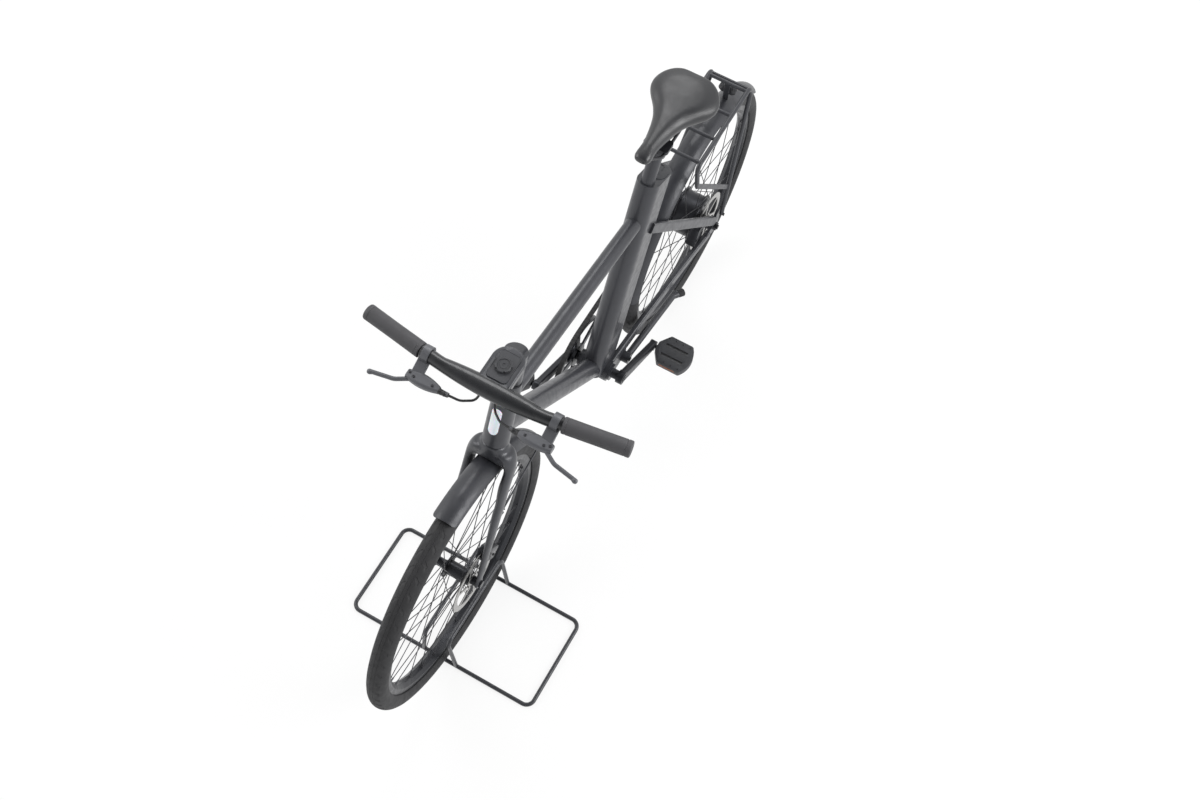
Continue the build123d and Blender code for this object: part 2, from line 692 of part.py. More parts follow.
def seat_tube():
    """Long oval tube with the battery's bay behind the post's bore."""
    tube = seat_tube_blank() - shell_blank()
    tube -= extrude(seat_plane(SEAT_LEN - BAY_LEN) * bay_face(), amount=BAY_LEN + OVER)
    low = on_seat_tube(SEAT_LEN - POST_BORE_LEN, POST_FORE)
    return tube - rod(low, low + SEAT_DIR * (POST_BORE_LEN + OVER), POST_R + SEAT_GAP)


def battery():
    length = BAY_LEN - CAP_T - 2
    return extrude(seat_plane(SEAT_LEN - BAY_LEN + 1) * bay_face(BAY_FIT), amount=length)


def battery_cap():
    cap = extrude(seat_plane(SEAT_LEN - CAP_T) * bay_face(SEAT_GAP), amount=CAP_T + CAP_PROUD)
    tab = Pos(X=-BAY_BACK) * RectangleRounded(TAB_LEN, TAB_WIDTH, 5)
    return cap + extrude(seat_plane(SEAT_LEN + 1) * tab, amount=4)


def shell_blank():
    shell = across(BRACKET, SHELL_R, -SHELL_HALF, SHELL_HALF)
    cup_y = SHELL_HALF + CUP_T
    return shell + across(BRACKET, CUP_R, -cup_y, cup_y)


def bottom_bracket():
    end_y = SHELL_HALF + CUP_T + OVER
    return shell_blank() - across(BRACKET, SPINDLE_R + RUN_FIT, -end_y, end_y)


def top_tube():
    tube = rod(on_steering(TOP_TUBE_HEAD_Z), on_seat_tube(TOP_TUBE_SEAT_UP), TOP_TUBE_R)
    return largest(tube - head_tube_blank() - seat_tube_blank())


def down_tube():
    tube = rod(on_steering(DOWN_TUBE_HEAD_Z), BRACKET, DOWN_TUBE_R)
    return largest(tube - head_tube_blank() - seat_tube_blank() - shell_blank())


def chain_stay():
    """Left stay: from the bracket, past the tyre, out to the dropout plate."""
    mid = STAY_IN_Y + STAY_W / 2
    out_y = REAR_HALF + DROPOUT_T
    tall = RectangleRounded(STAY_W, STAY_H, STAY_ROUND)
    slim = RectangleRounded(STAY_W, STAY_H - 8, STAY_ROUND)
    root = Vector(BB_X - 10, mid - 9, BB_Z)
    knee = Vector(BB_X - 125, mid, BB_Z + 12)
    end = Vector(REAR_X + 28, out_y - DROPOUT_T / 2, WHEEL_R)
    stay = loft_between([(root, knee - root, tall), (knee, end - root, tall), (end, end - knee, slim)])
    eye = Pos(REAR_X, WHEEL_R) * Circle(DROPOUT_R)
    ear = Pos(REAR_X - EAR_BACK, WHEEL_R + EAR_UP) * Circle(EAR_R)
    lug = Pos(REAR_X + LUG_FORE, WHEEL_R) * RectangleRounded(LUG_LEN, STAY_H - 6, 5)
    stay += side_plate(make_hull([*eye.edges(), *ear.edges()]), REAR_HALF, out_y)
    stay += side_plate(lug, REAR_HALF, out_y)
    stay -= across(REAR_AXLE, REAR_AXLE_R + RUN_FIT, REAR_HALF - OVER, out_y + OVER)
    return largest(stay - shell_blank() - seat_tube_blank())


def seat_stay():
    root = on_seat_tube(SEAT_STAY_UP, -4, SEAT_WIDTH / 2)
    end = Vector(REAR_X + 2, REAR_HALF + DROPOUT_T / 2, WHEEL_R + DROPOUT_R + 3)
    face = RectangleRounded(SEAT_STAY_W, SEAT_STAY_H, STAY_ROUND)
    stay = loft_between([(root, end - root, face), (end, end - root, face)])
    return largest(stay - seat_tube_blank() - chain_stay())


# ------------------------------------------------------------ saddle and post
def post_axis(z):
    low = on_seat_tube(0, POST_FORE)
    return low + SEAT_DIR * ((z - low.Z) / SEAT_DIR.Z)


def seat_post():
    top = post_axis(POST_TOP_Z)
    post = rod(on_seat_tube(SEAT_LEN - POST_IN_LEN, POST_FORE), top, POST_R)
    return post + across(top, POST_HEAD_R, -POST_HEAD_HALF, POST_HEAD_HALF)


def saddle_x(share):
    """Place along the saddle, 0 at the nose and 1 at the rear."""
    return BB_X - SADDLE_BACK + SADDLE_LEN * (1 - share)


def saddle():
    """Seat shell and cover, widest near the rear, with a drooping nose."""
    shape = ((0.0, 0.17, 0.45, -13), (0.07, 0.27, 0.72, -9), (0.3, 0.34, 0.95, -5),
             (0.48, 0.50, 1.0, -4), (0.64, 0.82, 1.0, -2), (0.76, 1.0, 0.95, 0),
             (0.88, 0.93, 0.78, 1), (0.96, 0.70, 0.58, 1), (1.0, 0.42, 0.4, 0))
    faces = []
    for share, width, tall, rise in shape:
        w, h = SADDLE_W * width, SADDLE_H * tall
        middle = SADDLE_TOP_Z + rise - h / 2
        plane = Plane(origin=(saddle_x(share), 0, middle), x_dir=(0, 1, 0), z_dir=(1, 0, 0))
        faces.append(plane * RectangleRounded(w, h, min(w, h) * 0.42))
    return loft(faces)


def saddle_rail():
    top = SADDLE_TOP_Z - SADDLE_H + RAIL_SINK
    points = [(saddle_x(0.10), RAIL_FRONT_HALF, top), (saddle_x(0.24), RAIL_HALF, RAIL_Z),
              (saddle_x(0.62), RAIL_HALF, RAIL_Z), (saddle_x(0.84), RAIL_REAR_HALF, top)]
    return wire_tube(points, RAIL_R, [RAIL_BEND_R, RAIL_BEND_R]) - saddle()


def saddle_clamp():
    """Clamp plate round the rails."""
    top = post_axis(POST_TOP_Z)
    plane = Plane(origin=(top.X, 0, RAIL_Z))
    block = extrude(plane * RectangleRounded(CLAMP_LEN, CLAMP_W, 6), amount=CLAMP_T)
    for side in (1, -1):
        rail = Vector(top.X, side * RAIL_HALF, RAIL_Z)
        reach = Vector(CLAMP_LEN, 0, 0)
        block -= rod(rail - reach, rail + reach, RAIL_R + SEAT_GAP)
    return block


# --------------------------------------------------------- mudguards and rack
def guard(axle, start, end):
    """Curved strip over the tyre, turned about the axle between two angles."""
    half = GUARD_W / 2
    outer = ThreePointArc((GUARD_OUT_R - GUARD_DROP, half), (GUARD_OUT_R, 0),
                          (GUARD_OUT_R - GUARD_DROP, -half))
    inner = ThreePointArc((GUARD_IN_R - GUARD_DROP, half - GUARD_T), (GUARD_IN_R, 0),
                          (GUARD_IN_R - GUARD_DROP, -half + GUARD_T))
    edges = [*outer.edges(), *inner.edges(),
             *Line(outer @ 0, inner @ 0).edges(), *Line(outer @ 1, inner @ 1).edges()]
    turn = radians(start)
    plane = Plane(origin=axle, x_dir=(cos(turn), 0, sin(turn)), z_dir=(-sin(turn), 0, cos(turn)))
    strip = revolve(plane * make_face(edges), axis=Axis(axle, (0, -1, 0)), revolution_arc=end - start)
    corners = [edge for edge in strip.edges() if edge.length < 2 * GUARD_T]
    return fillet(corners, GUARD_CORNER_R)


def guard_boss(axle, angle, reach):
    """Fixing boss that stands out from a mudguard."""
    return rod(polar(axle, GUARD_IN_R + BOSS_SINK, angle), polar(axle, GUARD_OUT_R + reach, angle), BOSS_R)


def rear_mudguard():
    """Strip with a boss against the back of the seat tube."""
    strip = guard(REAR_AXLE, REAR_GUARD_FROM, REAR_GUARD_TO)
    boss = guard_boss(REAR_AXLE, 90 - SEAT_ANGLE, SEAT_DEPTH / 4)
    return strip + (boss - seat_tube_blank(SEAT_GAP))


def leg_eye(out=LEG_EYE_OUT):
    """Rear end of the eye that stands out behind the left blade."""
    place = leg_point(LEG_EYE_SHARE)
    return place - Vector(out, 0, 0)


def front_mudguard():
    """Strip with a boss against the fork's arch and a wire stay to each blade."""
    strip = guard(FRONT_AXLE, FRONT_GUARD_FROM, FRONT_GUARD_TO)
    strip += guard_boss(FRONT_AXLE, CROWN_ANGLE, ARCH_GAP) & wheel_arch(SEAT_GAP)
    eye = leg_eye() - Vector(SEAT_GAP, 0, 0)
    hold = polar(FRONT_AXLE, GUARD_OUT_R - GUARD_DROP + STAY_WIRE_R, STAY_ANGLE, GUARD_W / 2 - STAY_WIRE_R)
    stay = rod(eye, eye - Vector(2 * STAY_WIRE_R, 0, 0), LEG_EYE_R)
    stay += rod(eye - Vector(STAY_WIRE_R, 0, 0), hold, STAY_WIRE_R)
    return strip + stay + mirrored(stay)


def rack_point(back, side, z=RACK_Z):
    return Vector(FRONT_X - back, side * RACK_HALF, z)


def rack_side(side):
    """One continuous tube: front leg, rail and rear leg, with a flat strut."""
    foot_y = REAR_HALF + DROPOUT_T + RACK_R + RACK_FOOT_GAP
    foot = Vector(REAR_X - EAR_BACK, side * foot_y, WHEEL_R + EAR_UP - RACK_FOOT_DROP)
    rail_back = rack_point(RACK_REAR_BACK, side)
    rail_front = rack_point(RACK_FRONT_BACK, side)
    knee = Vector(FRONT_X - RACK_KNEE_BACK, side * (RACK_HALF + RACK_KNEE_OUT), RACK_KNEE_Z)
    tube = wire_tube([knee, rail_front, rail_back, foot], RACK_R, [RACK_FRONT_BEND_R, RACK_REAR_BEND_R])
    along = rail_back + (foot - rail_back) * RACK_STRUT_SHARE - knee
    plane = Plane(origin=knee, x_dir=(0, 1, 0), z_dir=along)
    return tube + extrude(plane * RectangleRounded(STRUT_T, STRUT_W, 1), amount=along.length)


def rear_rack():
    """Two side tubes, their cross bars and a tab down to the mudguard."""
    rack = rack_side(1) + rack_side(-1)
    bars = [(back, RACK_Z) for back in RACK_BARS]
    bars.append((RACK_LAST_BAR[0], RACK_Z - RACK_LAST_BAR[1]))
    for back, z in bars:
        rack += rod(rack_point(back, 1, z), rack_point(back, -1, z), RACK_BAR_R)
    tab = Plane(origin=(FRONT_X - RACK_BARS[-1], 0, RACK_Z))
    rack += extrude(tab * RectangleRounded(TAB_T, TAB_W, 1.2), amount=-TAB_DROP)
    return rack - across(REAR_AXLE, GUARD_OUT_R + SEAT_GAP, -TAB_W, TAB_W)


def rear_light():
    """Small lamp on the back of the rack's tab."""
    face = FRONT_X - RACK_BARS[-1] - TAB_T / 2 - SEAT_GAP
    plane = Plane(origin=(face, 0, RACK_Z - LAMP_DROP), x_dir=(0, 1, 0), z_dir=(-1, 0, 0))
    lamp = extrude(plane * SlotOverall(LAMP_W, LAMP_H), amount=LAMP_T)
    return fillet(lamp.edges().group_by(Axis.X)[0], LAMP_ROUND)


# ----------------------------------------------------------------------- fork
def below_crown(down, y=0.0):
    """Place under the top of the crown, along the steering axis."""
    top = on_steering(HEAD_LOW_Z) - STEER_DIR * (HEADSET_LIP + FORK_TOP_GAP)
    return top - STEER_DIR * down + Vector(0, y, 0)


def leg_point(share):
    """Place on the middle of the left blade, 0 at its knee and 1 at the axle."""
    knee = below_crown(LEG_KNEE_DOWN, LEG_KNEE_Y)
    tip = Vector(FRONT_X, FRONT_HUB_HALF + FORK_TIP_T / 2, WHEEL_R)
    return knee + (tip - knee) * share


def fork_leg():
    """Blade that grows out of the crown's shoulder and runs down to the hub's end."""
    along = leg_point(1) - leg_point(0)
    root = (below_crown(LEG_ROOT_DOWN, LEG_ROOT_Y), -STEER_DIR, Ellipse(LEG_ROOT_W / 2, LEG_ROOT_D / 2))
    turn = (below_crown(LEG_TURN_DOWN, LEG_TURN_Y), -STEER_DIR, Ellipse(LEG_TURN_W / 2, LEG_TURN_D / 2))
    stations = [root, turn]
    for step in range(LEG_STEPS + 1):
        share = step / LEG_STEPS
        half_w = LEG_W / 2 + share * (FORK_TIP_T / 2 + 1 - LEG_W / 2)
        half_d = LEG_D / 2 + share * (LEG_TIP_D - LEG_D) / 2
        stations.append((leg_point(share), along, Ellipse(half_w, half_d)))
    leg = loft_between(stations)
    out_y = FRONT_HUB_HALF + FORK_TIP_T
    leg += across(FRONT_AXLE, FORK_TIP_R, FRONT_HUB_HALF, out_y)
    leg += rod(leg_point(LEG_EYE_SHARE), leg_eye(), LEG_EYE_R)
    inside = across(FRONT_AXLE, 3 * FORK_TIP_R, FRONT_HUB_HALF - 30, FRONT_HUB_HALF)
    outside = across(FRONT_AXLE, FORK_TIP_R + 1, out_y, out_y + 30)
    return leg - inside - outside


def wheel_arch(shrink=0.0):
    """Space for the wheel and its mudguard: round on top, between the blades."""
    low_r, side_r = WHEEL_R / 2, GUARD_OUT_R - GUARD_DROP - shrink
    top_r, half = GUARD_OUT_R + ARCH_GAP - shrink, ARCH_HALF - shrink
    crown = ThreePointArc((side_r, half), (top_r, 0), (side_r, -half))
    legs = Polyline((side_r, -half), (low_r, -half), (low_r, half), (side_r, half))
    return ring_of_revolution(make_face([*crown.edges(), *legs.edges()]), FRONT_AXLE)


def fork():
    """Steerer, crown with its rounded shoulders, and two blades."""
    stations = [(0, HEAD_LOW_R, HEAD_LOW_R),
                (CROWN_NECK_DOWN, HEAD_LOW_R + CROWN_NECK_OUT, HEAD_LOW_R),
                (CROWN_BELLY_DOWN, HEAD_LOW_R + CROWN_BELLY_OUT, HEAD_LOW_R - CROWN_BELLY_IN),
                (LEG_KNEE_DOWN, HEAD_LOW_R + CROWN_FOOT_OUT, HEAD_LOW_R - CROWN_FOOT_IN)]
    body = loft_between([(below_crown(down), -STEER_DIR, Ellipse(half_w, half_d))
                         for down, half_w, half_d in stations])
    body += fork_leg() + mirrored(fork_leg())
    body -= wheel_arch()
    body += rod(below_crown(OVER), on_steering(STEERER_TOP_Z), STEERER_R)
    return body - across(FRONT_AXLE, FRONT_AXLE_R + RUN_FIT, -2 * FRONT_HUB_HALF, 2 * FRONT_HUB_HALF)


# -------------------------------------------------------------------- cockpit
def bar_point(y):
    """Centre line of the handlebar at a distance from the middle."""
    out = max(0.0, abs(y) - BAR_BEND_Y)
    return Vector(BAR_X - out * tan(radians(BAR_SWEEP)), y, BAR_Z)


def handlebar():
    """Bar with its oval middle, stem block and neck in one piece."""
    points = [bar_point(y) for y in (-BAR_HALF, -BAR_BEND_Y, BAR_BEND_Y, BAR_HALF)]
    bar = wire_tube(points, BAR_R, [BAR_BEND_R, BAR_BEND_R])
    deep, tall, slim = BAR_SWELL_DEPTH / 2, BAR_SWELL_H / 2, BAR_R - 2
    half = [(BAR_SWELL_Y, deep, tall), (BAR_SWELL_END_Y, slim, slim)]
    swell = [(Vector(BAR_X, y, BAR_Z), (0, 1, 0), Ellipse(half_d, half_h))
             for y, half_d, half_h in [(-y, d, h) for y, d, h in reversed(half)] + half]
    plane = Plane(origin=(BAR_X - (PLATE_BACK - PLATE_FORE) / 2, 0, BAR_Z - PLATE_T / 2))
    block = extrude(plane * RectangleRounded(PLATE_BACK + PLATE_FORE, PLATE_W, PLATE_CORNER_R), amount=PLATE_T)
    block = fillet(block.edges().group_by(Axis.Z)[-1], PLATE_EDGE_R)
    block = chamfer(block.edges().group_by(Axis.Z)[0], PLATE_BEVEL)
    neck_low = on_steering(HEAD_LOW_Z) + STEER_DIR * (HEAD_LEN + HEADSET_LIP + STEM_GAP)
    neck = rod(neck_low, on_steering(BAR_Z), HEAD_TOP_R - 2)
    stem = bar + loft_between(swell, x_dir=(1, 0, 0)) + block + neck
    return stem - rod(neck_low - STEER_DIR * OVER, on_steering(STEERER_TOP_Z + 1), STEERER_R + SEAT_GAP)


def phone_mount():
    """Twist-lock disc on the inset plate of the stem block."""
    top = BAR_Z + PLATE_T / 2 + SEAT_GAP
    plane = Plane(origin=(BAR_X - PLATE_BACK / 2 - 2, 0, top))
    plate = extrude(plane * RectangleRounded(MOUNT_LEN, MOUNT_W, MOUNT_CORNER_R), amount=MOUNT_T)
    return plate + extrude(plane.offset(MOUNT_T) * Circle(DISC_R), amount=DISC_T)


def grip(side):
    start = bar_point(side * (BAR_HALF - GRIP_LEN))
    end = bar_point(side * BAR_HALF)
    along = (end - start).normalized()
    tube = rod(start, end + along * GRIP_END_T, GRIP_R)
    return tube - rod(start - along, end + along * SEAT_GAP, BAR_R + SEAT_GAP)


def brake_lever(side):
    """Clamp, arm, flat body and blade for one hand."""
    centre = bar_point(LEVER_Y)
    head = centre + Vector(LEVER_ARM, 0, -LEVER_DROP)
    run = bar_point(LEVER_Y + 20) - bar_point(LEVER_Y - 20)
    whole = across(centre, LEVER_CLAMP_R, LEVER_Y - LEVER_CLAMP_HALF, LEVER_Y + LEVER_CLAMP_HALF)
    plane = Plane(origin=centre, x_dir=(0, 1, 0), z_dir=head - centre)
    whole += extrude(plane * RectangleRounded(LEVER_ARM_W, LEVER_ARM_T, 2), amount=(head - centre).length)
    nose = head + Vector(1, -POD_IN, 0)
    whole += loft_between([
        (head + Vector(0, POD_OUT, 0), (0, -1, 0), RectangleRounded(POD_W - 8, POD_H - 3, 5)),
        (head, (0, -1, 0), RectangleRounded(POD_W, POD_H, 6)),
        (nose, (0, -1, 0), RectangleRounded(POD_W - 12, POD_H - 4, 5))], x_dir=(1, 0, 0))
    whole += rod(nose, nose + Vector(0, -NOSE_LEN, 0), NOSE_R)
    blade = [head + Vector(6, 6, -1), head + Vector(22, 34, -3), head + Vector(30, BLADE_REACH, -6)]
    whole += wire_tube(blade, BLADE_R, [BLADE_BEND_R])
    whole -= rod(centre - run, centre + run, BAR_R + SEAT_GAP)
    return whole if side > 0 else mirrored(whole)


def brake_hose(side):
    """Hose from the lever's nose to the port under the middle of the bar."""
    head = bar_point(LEVER_Y) + Vector(LEVER_ARM, 0, -LEVER_DROP)
    start = head + Vector(1, -POD_IN - NOSE_LEN - SEAT_GAP, 0)
    port = Vector(BAR_X + 8, HOSE_PORT_Y, BAR_Z - BAR_SWELL_H / 2 + 1 - SEAT_GAP)
    points = [start, start + Vector(-3, -24, -4), port + Vector(14, 6, -16), port + Vector(1, 0, -2)]
    hose = wire_tube(points, HOSE_R, [26, 13])
    return hose if side > 0 else mirrored(hose)


# ------------------------------------------------------------------- calipers
def caliper(axle, rotor_y, angle):
    """Block round the rotor's edge, with the slot the rotor turns in."""
    centre = polar(axle, ROTOR_R - 6, angle)
    turn = radians(angle)
    plane = Plane(origin=(centre.X, rotor_y - CALIPER_IN, centre.Z),
                  x_dir=(-sin(turn), 0, cos(turn)), z_dir=(0, 1, 0))
    block = extrude(plane * RectangleRounded(CALIPER_LEN, CALIPER_H, 8), amount=CALIPER_IN + CALIPER_OUT)
    half_slot = ROTOR_T / 2 + PAD_GAP
    return block - across(axle, ROTOR_R + PAD_GAP, rotor_y - half_slot, rotor_y + half_slot)


def front_caliper():
    return largest(caliper(FRONT_AXLE, FRONT_ROTOR_Y, FRONT_CALIPER_ANGLE) - fork_leg())


def rear_caliper():
    return largest(caliper(REAR_AXLE, REAR_ROTOR_Y, REAR_CALIPER_ANGLE) - chain_stay())


# ------------------------------------------------------------------ kickstand
def kickstand():
    """Folded leg, running back under the left stay, with its foot."""
    root = KICK_PIVOT + Vector(0, KICK_Y, 0)
    end = root + Vector(-KICK_LEN, KICK_SPLAY, -KICK_FALL)
    leg = rod(root, end, KICK_R)
    leg += across(KICK_PIVOT, KICK_EYE_R, KICK_Y - KICK_HALF, KICK_Y + KICK_HALF)
    leg += rod(end + Vector(14, -2, 0), end + Vector(-12, 16, -2), KICK_FOOT_R)
    return leg - across(KICK_PIVOT, KICK_PIN_R + RUN_FIT, KICK_Y - KICK_EYE_R, KICK_Y + KICK_EYE_R)


def kickstand_bracket():
    """Clamp plate under the left stay with the leg's pivot pin."""
    in_y = STAY_IN_Y + STAY_W / 2 - 10
    out_y = KICK_Y - KICK_HALF - FACE_GAP
    plate = Pos(KICK_PIVOT.X + KICK_PLATE_FORE, KICK_PIVOT.Z + KICK_PLATE_UP) * RectangleRounded(KICK_PLATE_LEN, KICK_PLATE_H, 5)
    block = largest(side_plate(plate, in_y, out_y) - chain_stay())
    return block + across(KICK_PIVOT, KICK_PIN_R, out_y - 1, KICK_Y + KICK_HALF + 3)


# -------------------------------------------------------------- display stand
def display_stand():
    """Floor loop with a hoop on each side of the front wheel."""
    r = STAND_WIRE_R
    middle = FRONT_X - STAND_BACK
    half_l, half_w = STAND_LEN / 2, STAND_WIDTH / 2
    loop = [(middle + fore, y, r) for fore, y in
            ((half_l, 0), (half_l, half_w), (-half_l, half_w), (-half_l, 0))]
    hoop = [(middle + fore, y, z) for fore, y, z in
            ((half_l, HOOP_FOOT, r), (half_l, HOOP_HALF, HOOP_Z),
             (-half_l, HOOP_HALF, HOOP_Z), (-half_l, HOOP_FOOT, r))]
    bends = [STAND_BEND_R, STAND_BEND_R]
    side = wire_tube(loop, r, bends) + wire_tube(hoop, r, bends)
    return side + mirrored(side)


# --------------------------------------------------------------------- export
def main():
    pieces = {
        "head_tube": head_tube(),
        "headset": headset(),
        "head_light": head_light(),
        "top_tube": top_tube(),
        "down_tube": down_tube(),
        "seat_tube": seat_tube(),
        "bottom_bracket": bottom_bracket(),
        "chain_stays": both(chain_stay()),
        "seat_stays": both(seat_stay()),
        "battery": battery(),
        "battery_cap": battery_cap(),
        "seat_post": seat_post(),
        "saddle_clamp": saddle_clamp(),
        "saddle_rails": both(saddle_rail()),
        "saddle": saddle(),
        "rear_mudguard": rear_mudguard(),
        "rear_rack": rear_rack(),
        "rear_light": rear_light(),
        "rear_caliper": rear_caliper(),
        "rear_axle": rear_axle(),
        "drive_belt": drive_belt(),
        "kickstand_bracket": kickstand_bracket(),
        "fork": fork(),
        "front_axle": front_axle(),
        "front_mudguard": front_mudguard(),
        "front_caliper": front_caliper(),
        "handlebar": handlebar(),
        "phone_mount": phone_mount(),
        "grip_left": grip(1),
        "grip_right": grip(-1),
        "brake_lever_left": brake_lever(1),
        "brake_lever_right": brake_lever(-1),
        "brake_hose_left": brake_hose(1),
        "brake_hose_right": brake_hose(-1),
        "display_stand": display_stand(),
        "front_tyre": tyre(FRONT_AXLE),
        "front_rim": rim(FRONT_AXLE),
        "front_spokes": spokes(FRONT_AXLE, FRONT_FLANGE_R, FRONT_FLANGE_Y),
        "front_hub": front_hub(),
        "front_rotor": rotor(FRONT_AXLE, FRONT_ROTOR_Y, HUB_END_R),
        "rear_tyre": tyre(REAR_AXLE),
        "rear_rim": rim(REAR_AXLE),
        "rear_spokes": spokes(REAR_AXLE, MOTOR_FLANGE_R, MOTOR_FLANGE_Y),
        "hub_motor": hub_motor(),
        "rear_rotor": rotor(REAR_AXLE, REAR_ROTOR_Y, MOTOR_END_R),
        "rear_sprocket": rear_sprocket(),
        "front_sprocket": front_sprocket(),
        "crank_left": crank_left(),
        "crank_right": crank_right(),
        "pedal_left": pedal(1),
        "pedal_right": pedal(-1),
        "kickstand": kickstand(),
    }
    os.makedirs("parts", exist_ok=True)
    for node, shape in pieces.items():
        export_step(shape, f"parts/{node}.step")


main()
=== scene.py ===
# %% [markdown]
# # Electric city bike in a wheel-holding floor stand
# The exact solids come from CAD and are loaded as a fixed frame. Blender adds what the
# eye reads up close: soft and moulded pieces, tread, fasteners, lenses and materials.

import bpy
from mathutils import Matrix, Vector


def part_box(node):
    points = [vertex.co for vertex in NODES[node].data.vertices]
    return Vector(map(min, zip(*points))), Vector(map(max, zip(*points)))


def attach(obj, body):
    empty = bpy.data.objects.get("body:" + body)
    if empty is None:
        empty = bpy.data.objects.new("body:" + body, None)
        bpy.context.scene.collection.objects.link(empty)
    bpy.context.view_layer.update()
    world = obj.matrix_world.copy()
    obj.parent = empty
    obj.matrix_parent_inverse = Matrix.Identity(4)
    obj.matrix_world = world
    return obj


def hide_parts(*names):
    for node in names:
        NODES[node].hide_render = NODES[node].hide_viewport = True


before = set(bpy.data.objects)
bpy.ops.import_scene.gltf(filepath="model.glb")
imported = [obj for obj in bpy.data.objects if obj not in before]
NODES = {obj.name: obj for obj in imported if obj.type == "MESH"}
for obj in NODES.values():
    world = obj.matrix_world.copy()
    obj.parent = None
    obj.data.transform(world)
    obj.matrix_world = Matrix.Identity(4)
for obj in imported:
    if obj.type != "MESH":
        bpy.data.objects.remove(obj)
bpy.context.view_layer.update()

# %% Shared imports and units
import bpy, math
from mathutils import Matrix, Vector

MM = 0.001


def centre_of(node):
    """Middle of a node's box."""
    low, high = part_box(node)
    return (Vector(low) + Vector(high)) / 2


FRONT_AXLE = centre_of("front_tyre")
REAR_AXLE = centre_of("rear_tyre")
BRACKET = centre_of("bottom_bracket")
print("wheelbase", round((FRONT_AXLE - REAR_AXLE).length, 4), "m")

# %% [markdown]
# ## Camera
# The view is from the rider's front left and well above, so that the bike shows its plan
# as well as its side. Heading, dip and roll turn into one rotation matrix, which avoids
# mixing up the order of three Euler angles.

# %% Camera
CAMERA_AT = Vector((1.4162, 0.7011, 3.3797))
CAMERA_HEADING = math.radians(-155.46)
CAMERA_DIP = math.radians(63.25)
CAMERA_ROLL = math.radians(5.30)
SENSOR_MM = 36
LENS_MM = 43.545


def camera_axes(heading, dip, roll):
    """Right, up and back of a camera that looks along a heading and a dip, then rolls."""
    view = Vector((math.cos(dip) * math.cos(heading), math.cos(dip) * math.sin(heading), -math.sin(dip)))
    right = view.cross(Vector((0, 0, 1))).normalized()
    up = right.cross(view)
    return (right * math.cos(roll) + up * math.sin(roll),
            up * math.cos(roll) - right * math.sin(roll), -view)


bpy.ops.object.camera_add(location=CAMERA_AT)
camera = bpy.context.object
camera.name = "view_camera"
axes = camera_axes(CAMERA_HEADING, CAMERA_DIP, CAMERA_ROLL)
camera.matrix_world = Matrix.Translation(CAMERA_AT) @ Matrix(axes).transposed().to_4x4()
camera.data.sensor_width = SENSOR_MM
camera.data.lens = LENS_MM
camera.data.clip_start = 0.05
bpy.context.scene.camera = camera
print("lens", round(camera.data.lens, 1), "mm")

# %% [markdown]
# ## Colours and nodes
# A hex colour is written as a screen shows it, while shaders reckon with linear light, so
# one function turns one into the other. Another adds any shader node with its settings and
# links in one call, so that each material reads as a short list of nodes.

# %% Colour and node helpers
def linear(hex_colour):
    """Turn an sRGB hex colour into the linear value that shaders use."""
    parts = [int(hex_colour[i:i + 2], 16) / 255 for i in (1, 3, 5)]
    return tuple(c / 12.92 if c <= 0.04045 else ((c + 0.055) / 1.055) ** 2.4 for c in parts) + (1.0,)


def add_node(tree, kind, settings=None, **links):
    """Add one node; settings are attributes, links are input names to values or sockets."""
    node = tree.nodes.new(kind)
    for key, value in (settings or {}).items():
        setattr(node, key, value)
    for key, value in links.items():
        socket = node.inputs[int(key[1:]) if key[0] == "i" and key[1:].isdigit() else key.replace("_", " ")]
        if isinstance(value, bpy.types.NodeSocket):
            tree.links.new(value, socket)
        else:
            socket.default_value = value
    return node


# %% [markdown]
# ## Floor
# A product studio has a seamless white floor. A plain white plane would turn grey where the
# lamps don't reach, so the floor glows white to the camera and to reflections, and the
# matt part that is mixed in still takes the soft shadow under the bike.

# %% Floor
FLOOR_GLOW_SHARE = 0.84
bpy.ops.mesh.primitive_plane_add(size=30, location=(0, 0, 0))
floor = bpy.context.object
floor.name = "studio_floor"
floor_paint = bpy.data.materials.new("studio_floor_paint")
floor_paint.use_nodes = True
tree = floor_paint.node_tree
tree.nodes.clear()
matt = add_node(tree, "ShaderNodeBsdfDiffuse", Color=linear("#f2f2f2"))
glow = add_node(tree, "ShaderNodeEmission", Color=linear("#ffffff"), Strength=1.0)
rays = add_node(tree, "ShaderNodeLightPath")
seen = add_node(tree, "ShaderNodeMath", {"operation": "MAXIMUM"}, i0=rays.outputs["Is Camera Ray"],
                i1=rays.outputs["Is Glossy Ray"])
part = add_node(tree, "ShaderNodeMath", {"operation": "MULTIPLY"}, i0=seen.outputs[0],
                i1=FLOOR_GLOW_SHARE)
mix = add_node(tree, "ShaderNodeMixShader", i0=part.outputs[0], i1=matt.outputs[0], i2=glow.outputs[0])
add_node(tree, "ShaderNodeOutputMaterial", Surface=mix.outputs[0])
floor.data.materials.append(floor_paint)
print("floor", round(floor.dimensions.x), "m wide")

# %% [markdown]
# ## Sky
# The sky stands for a light tent: white walls all round, and one dark patch where the tent
# is open for the camera. Dark satin tubes then show a dark core and light edges, and so
# read as round. A dot product with the patch's direction gives the brightness.

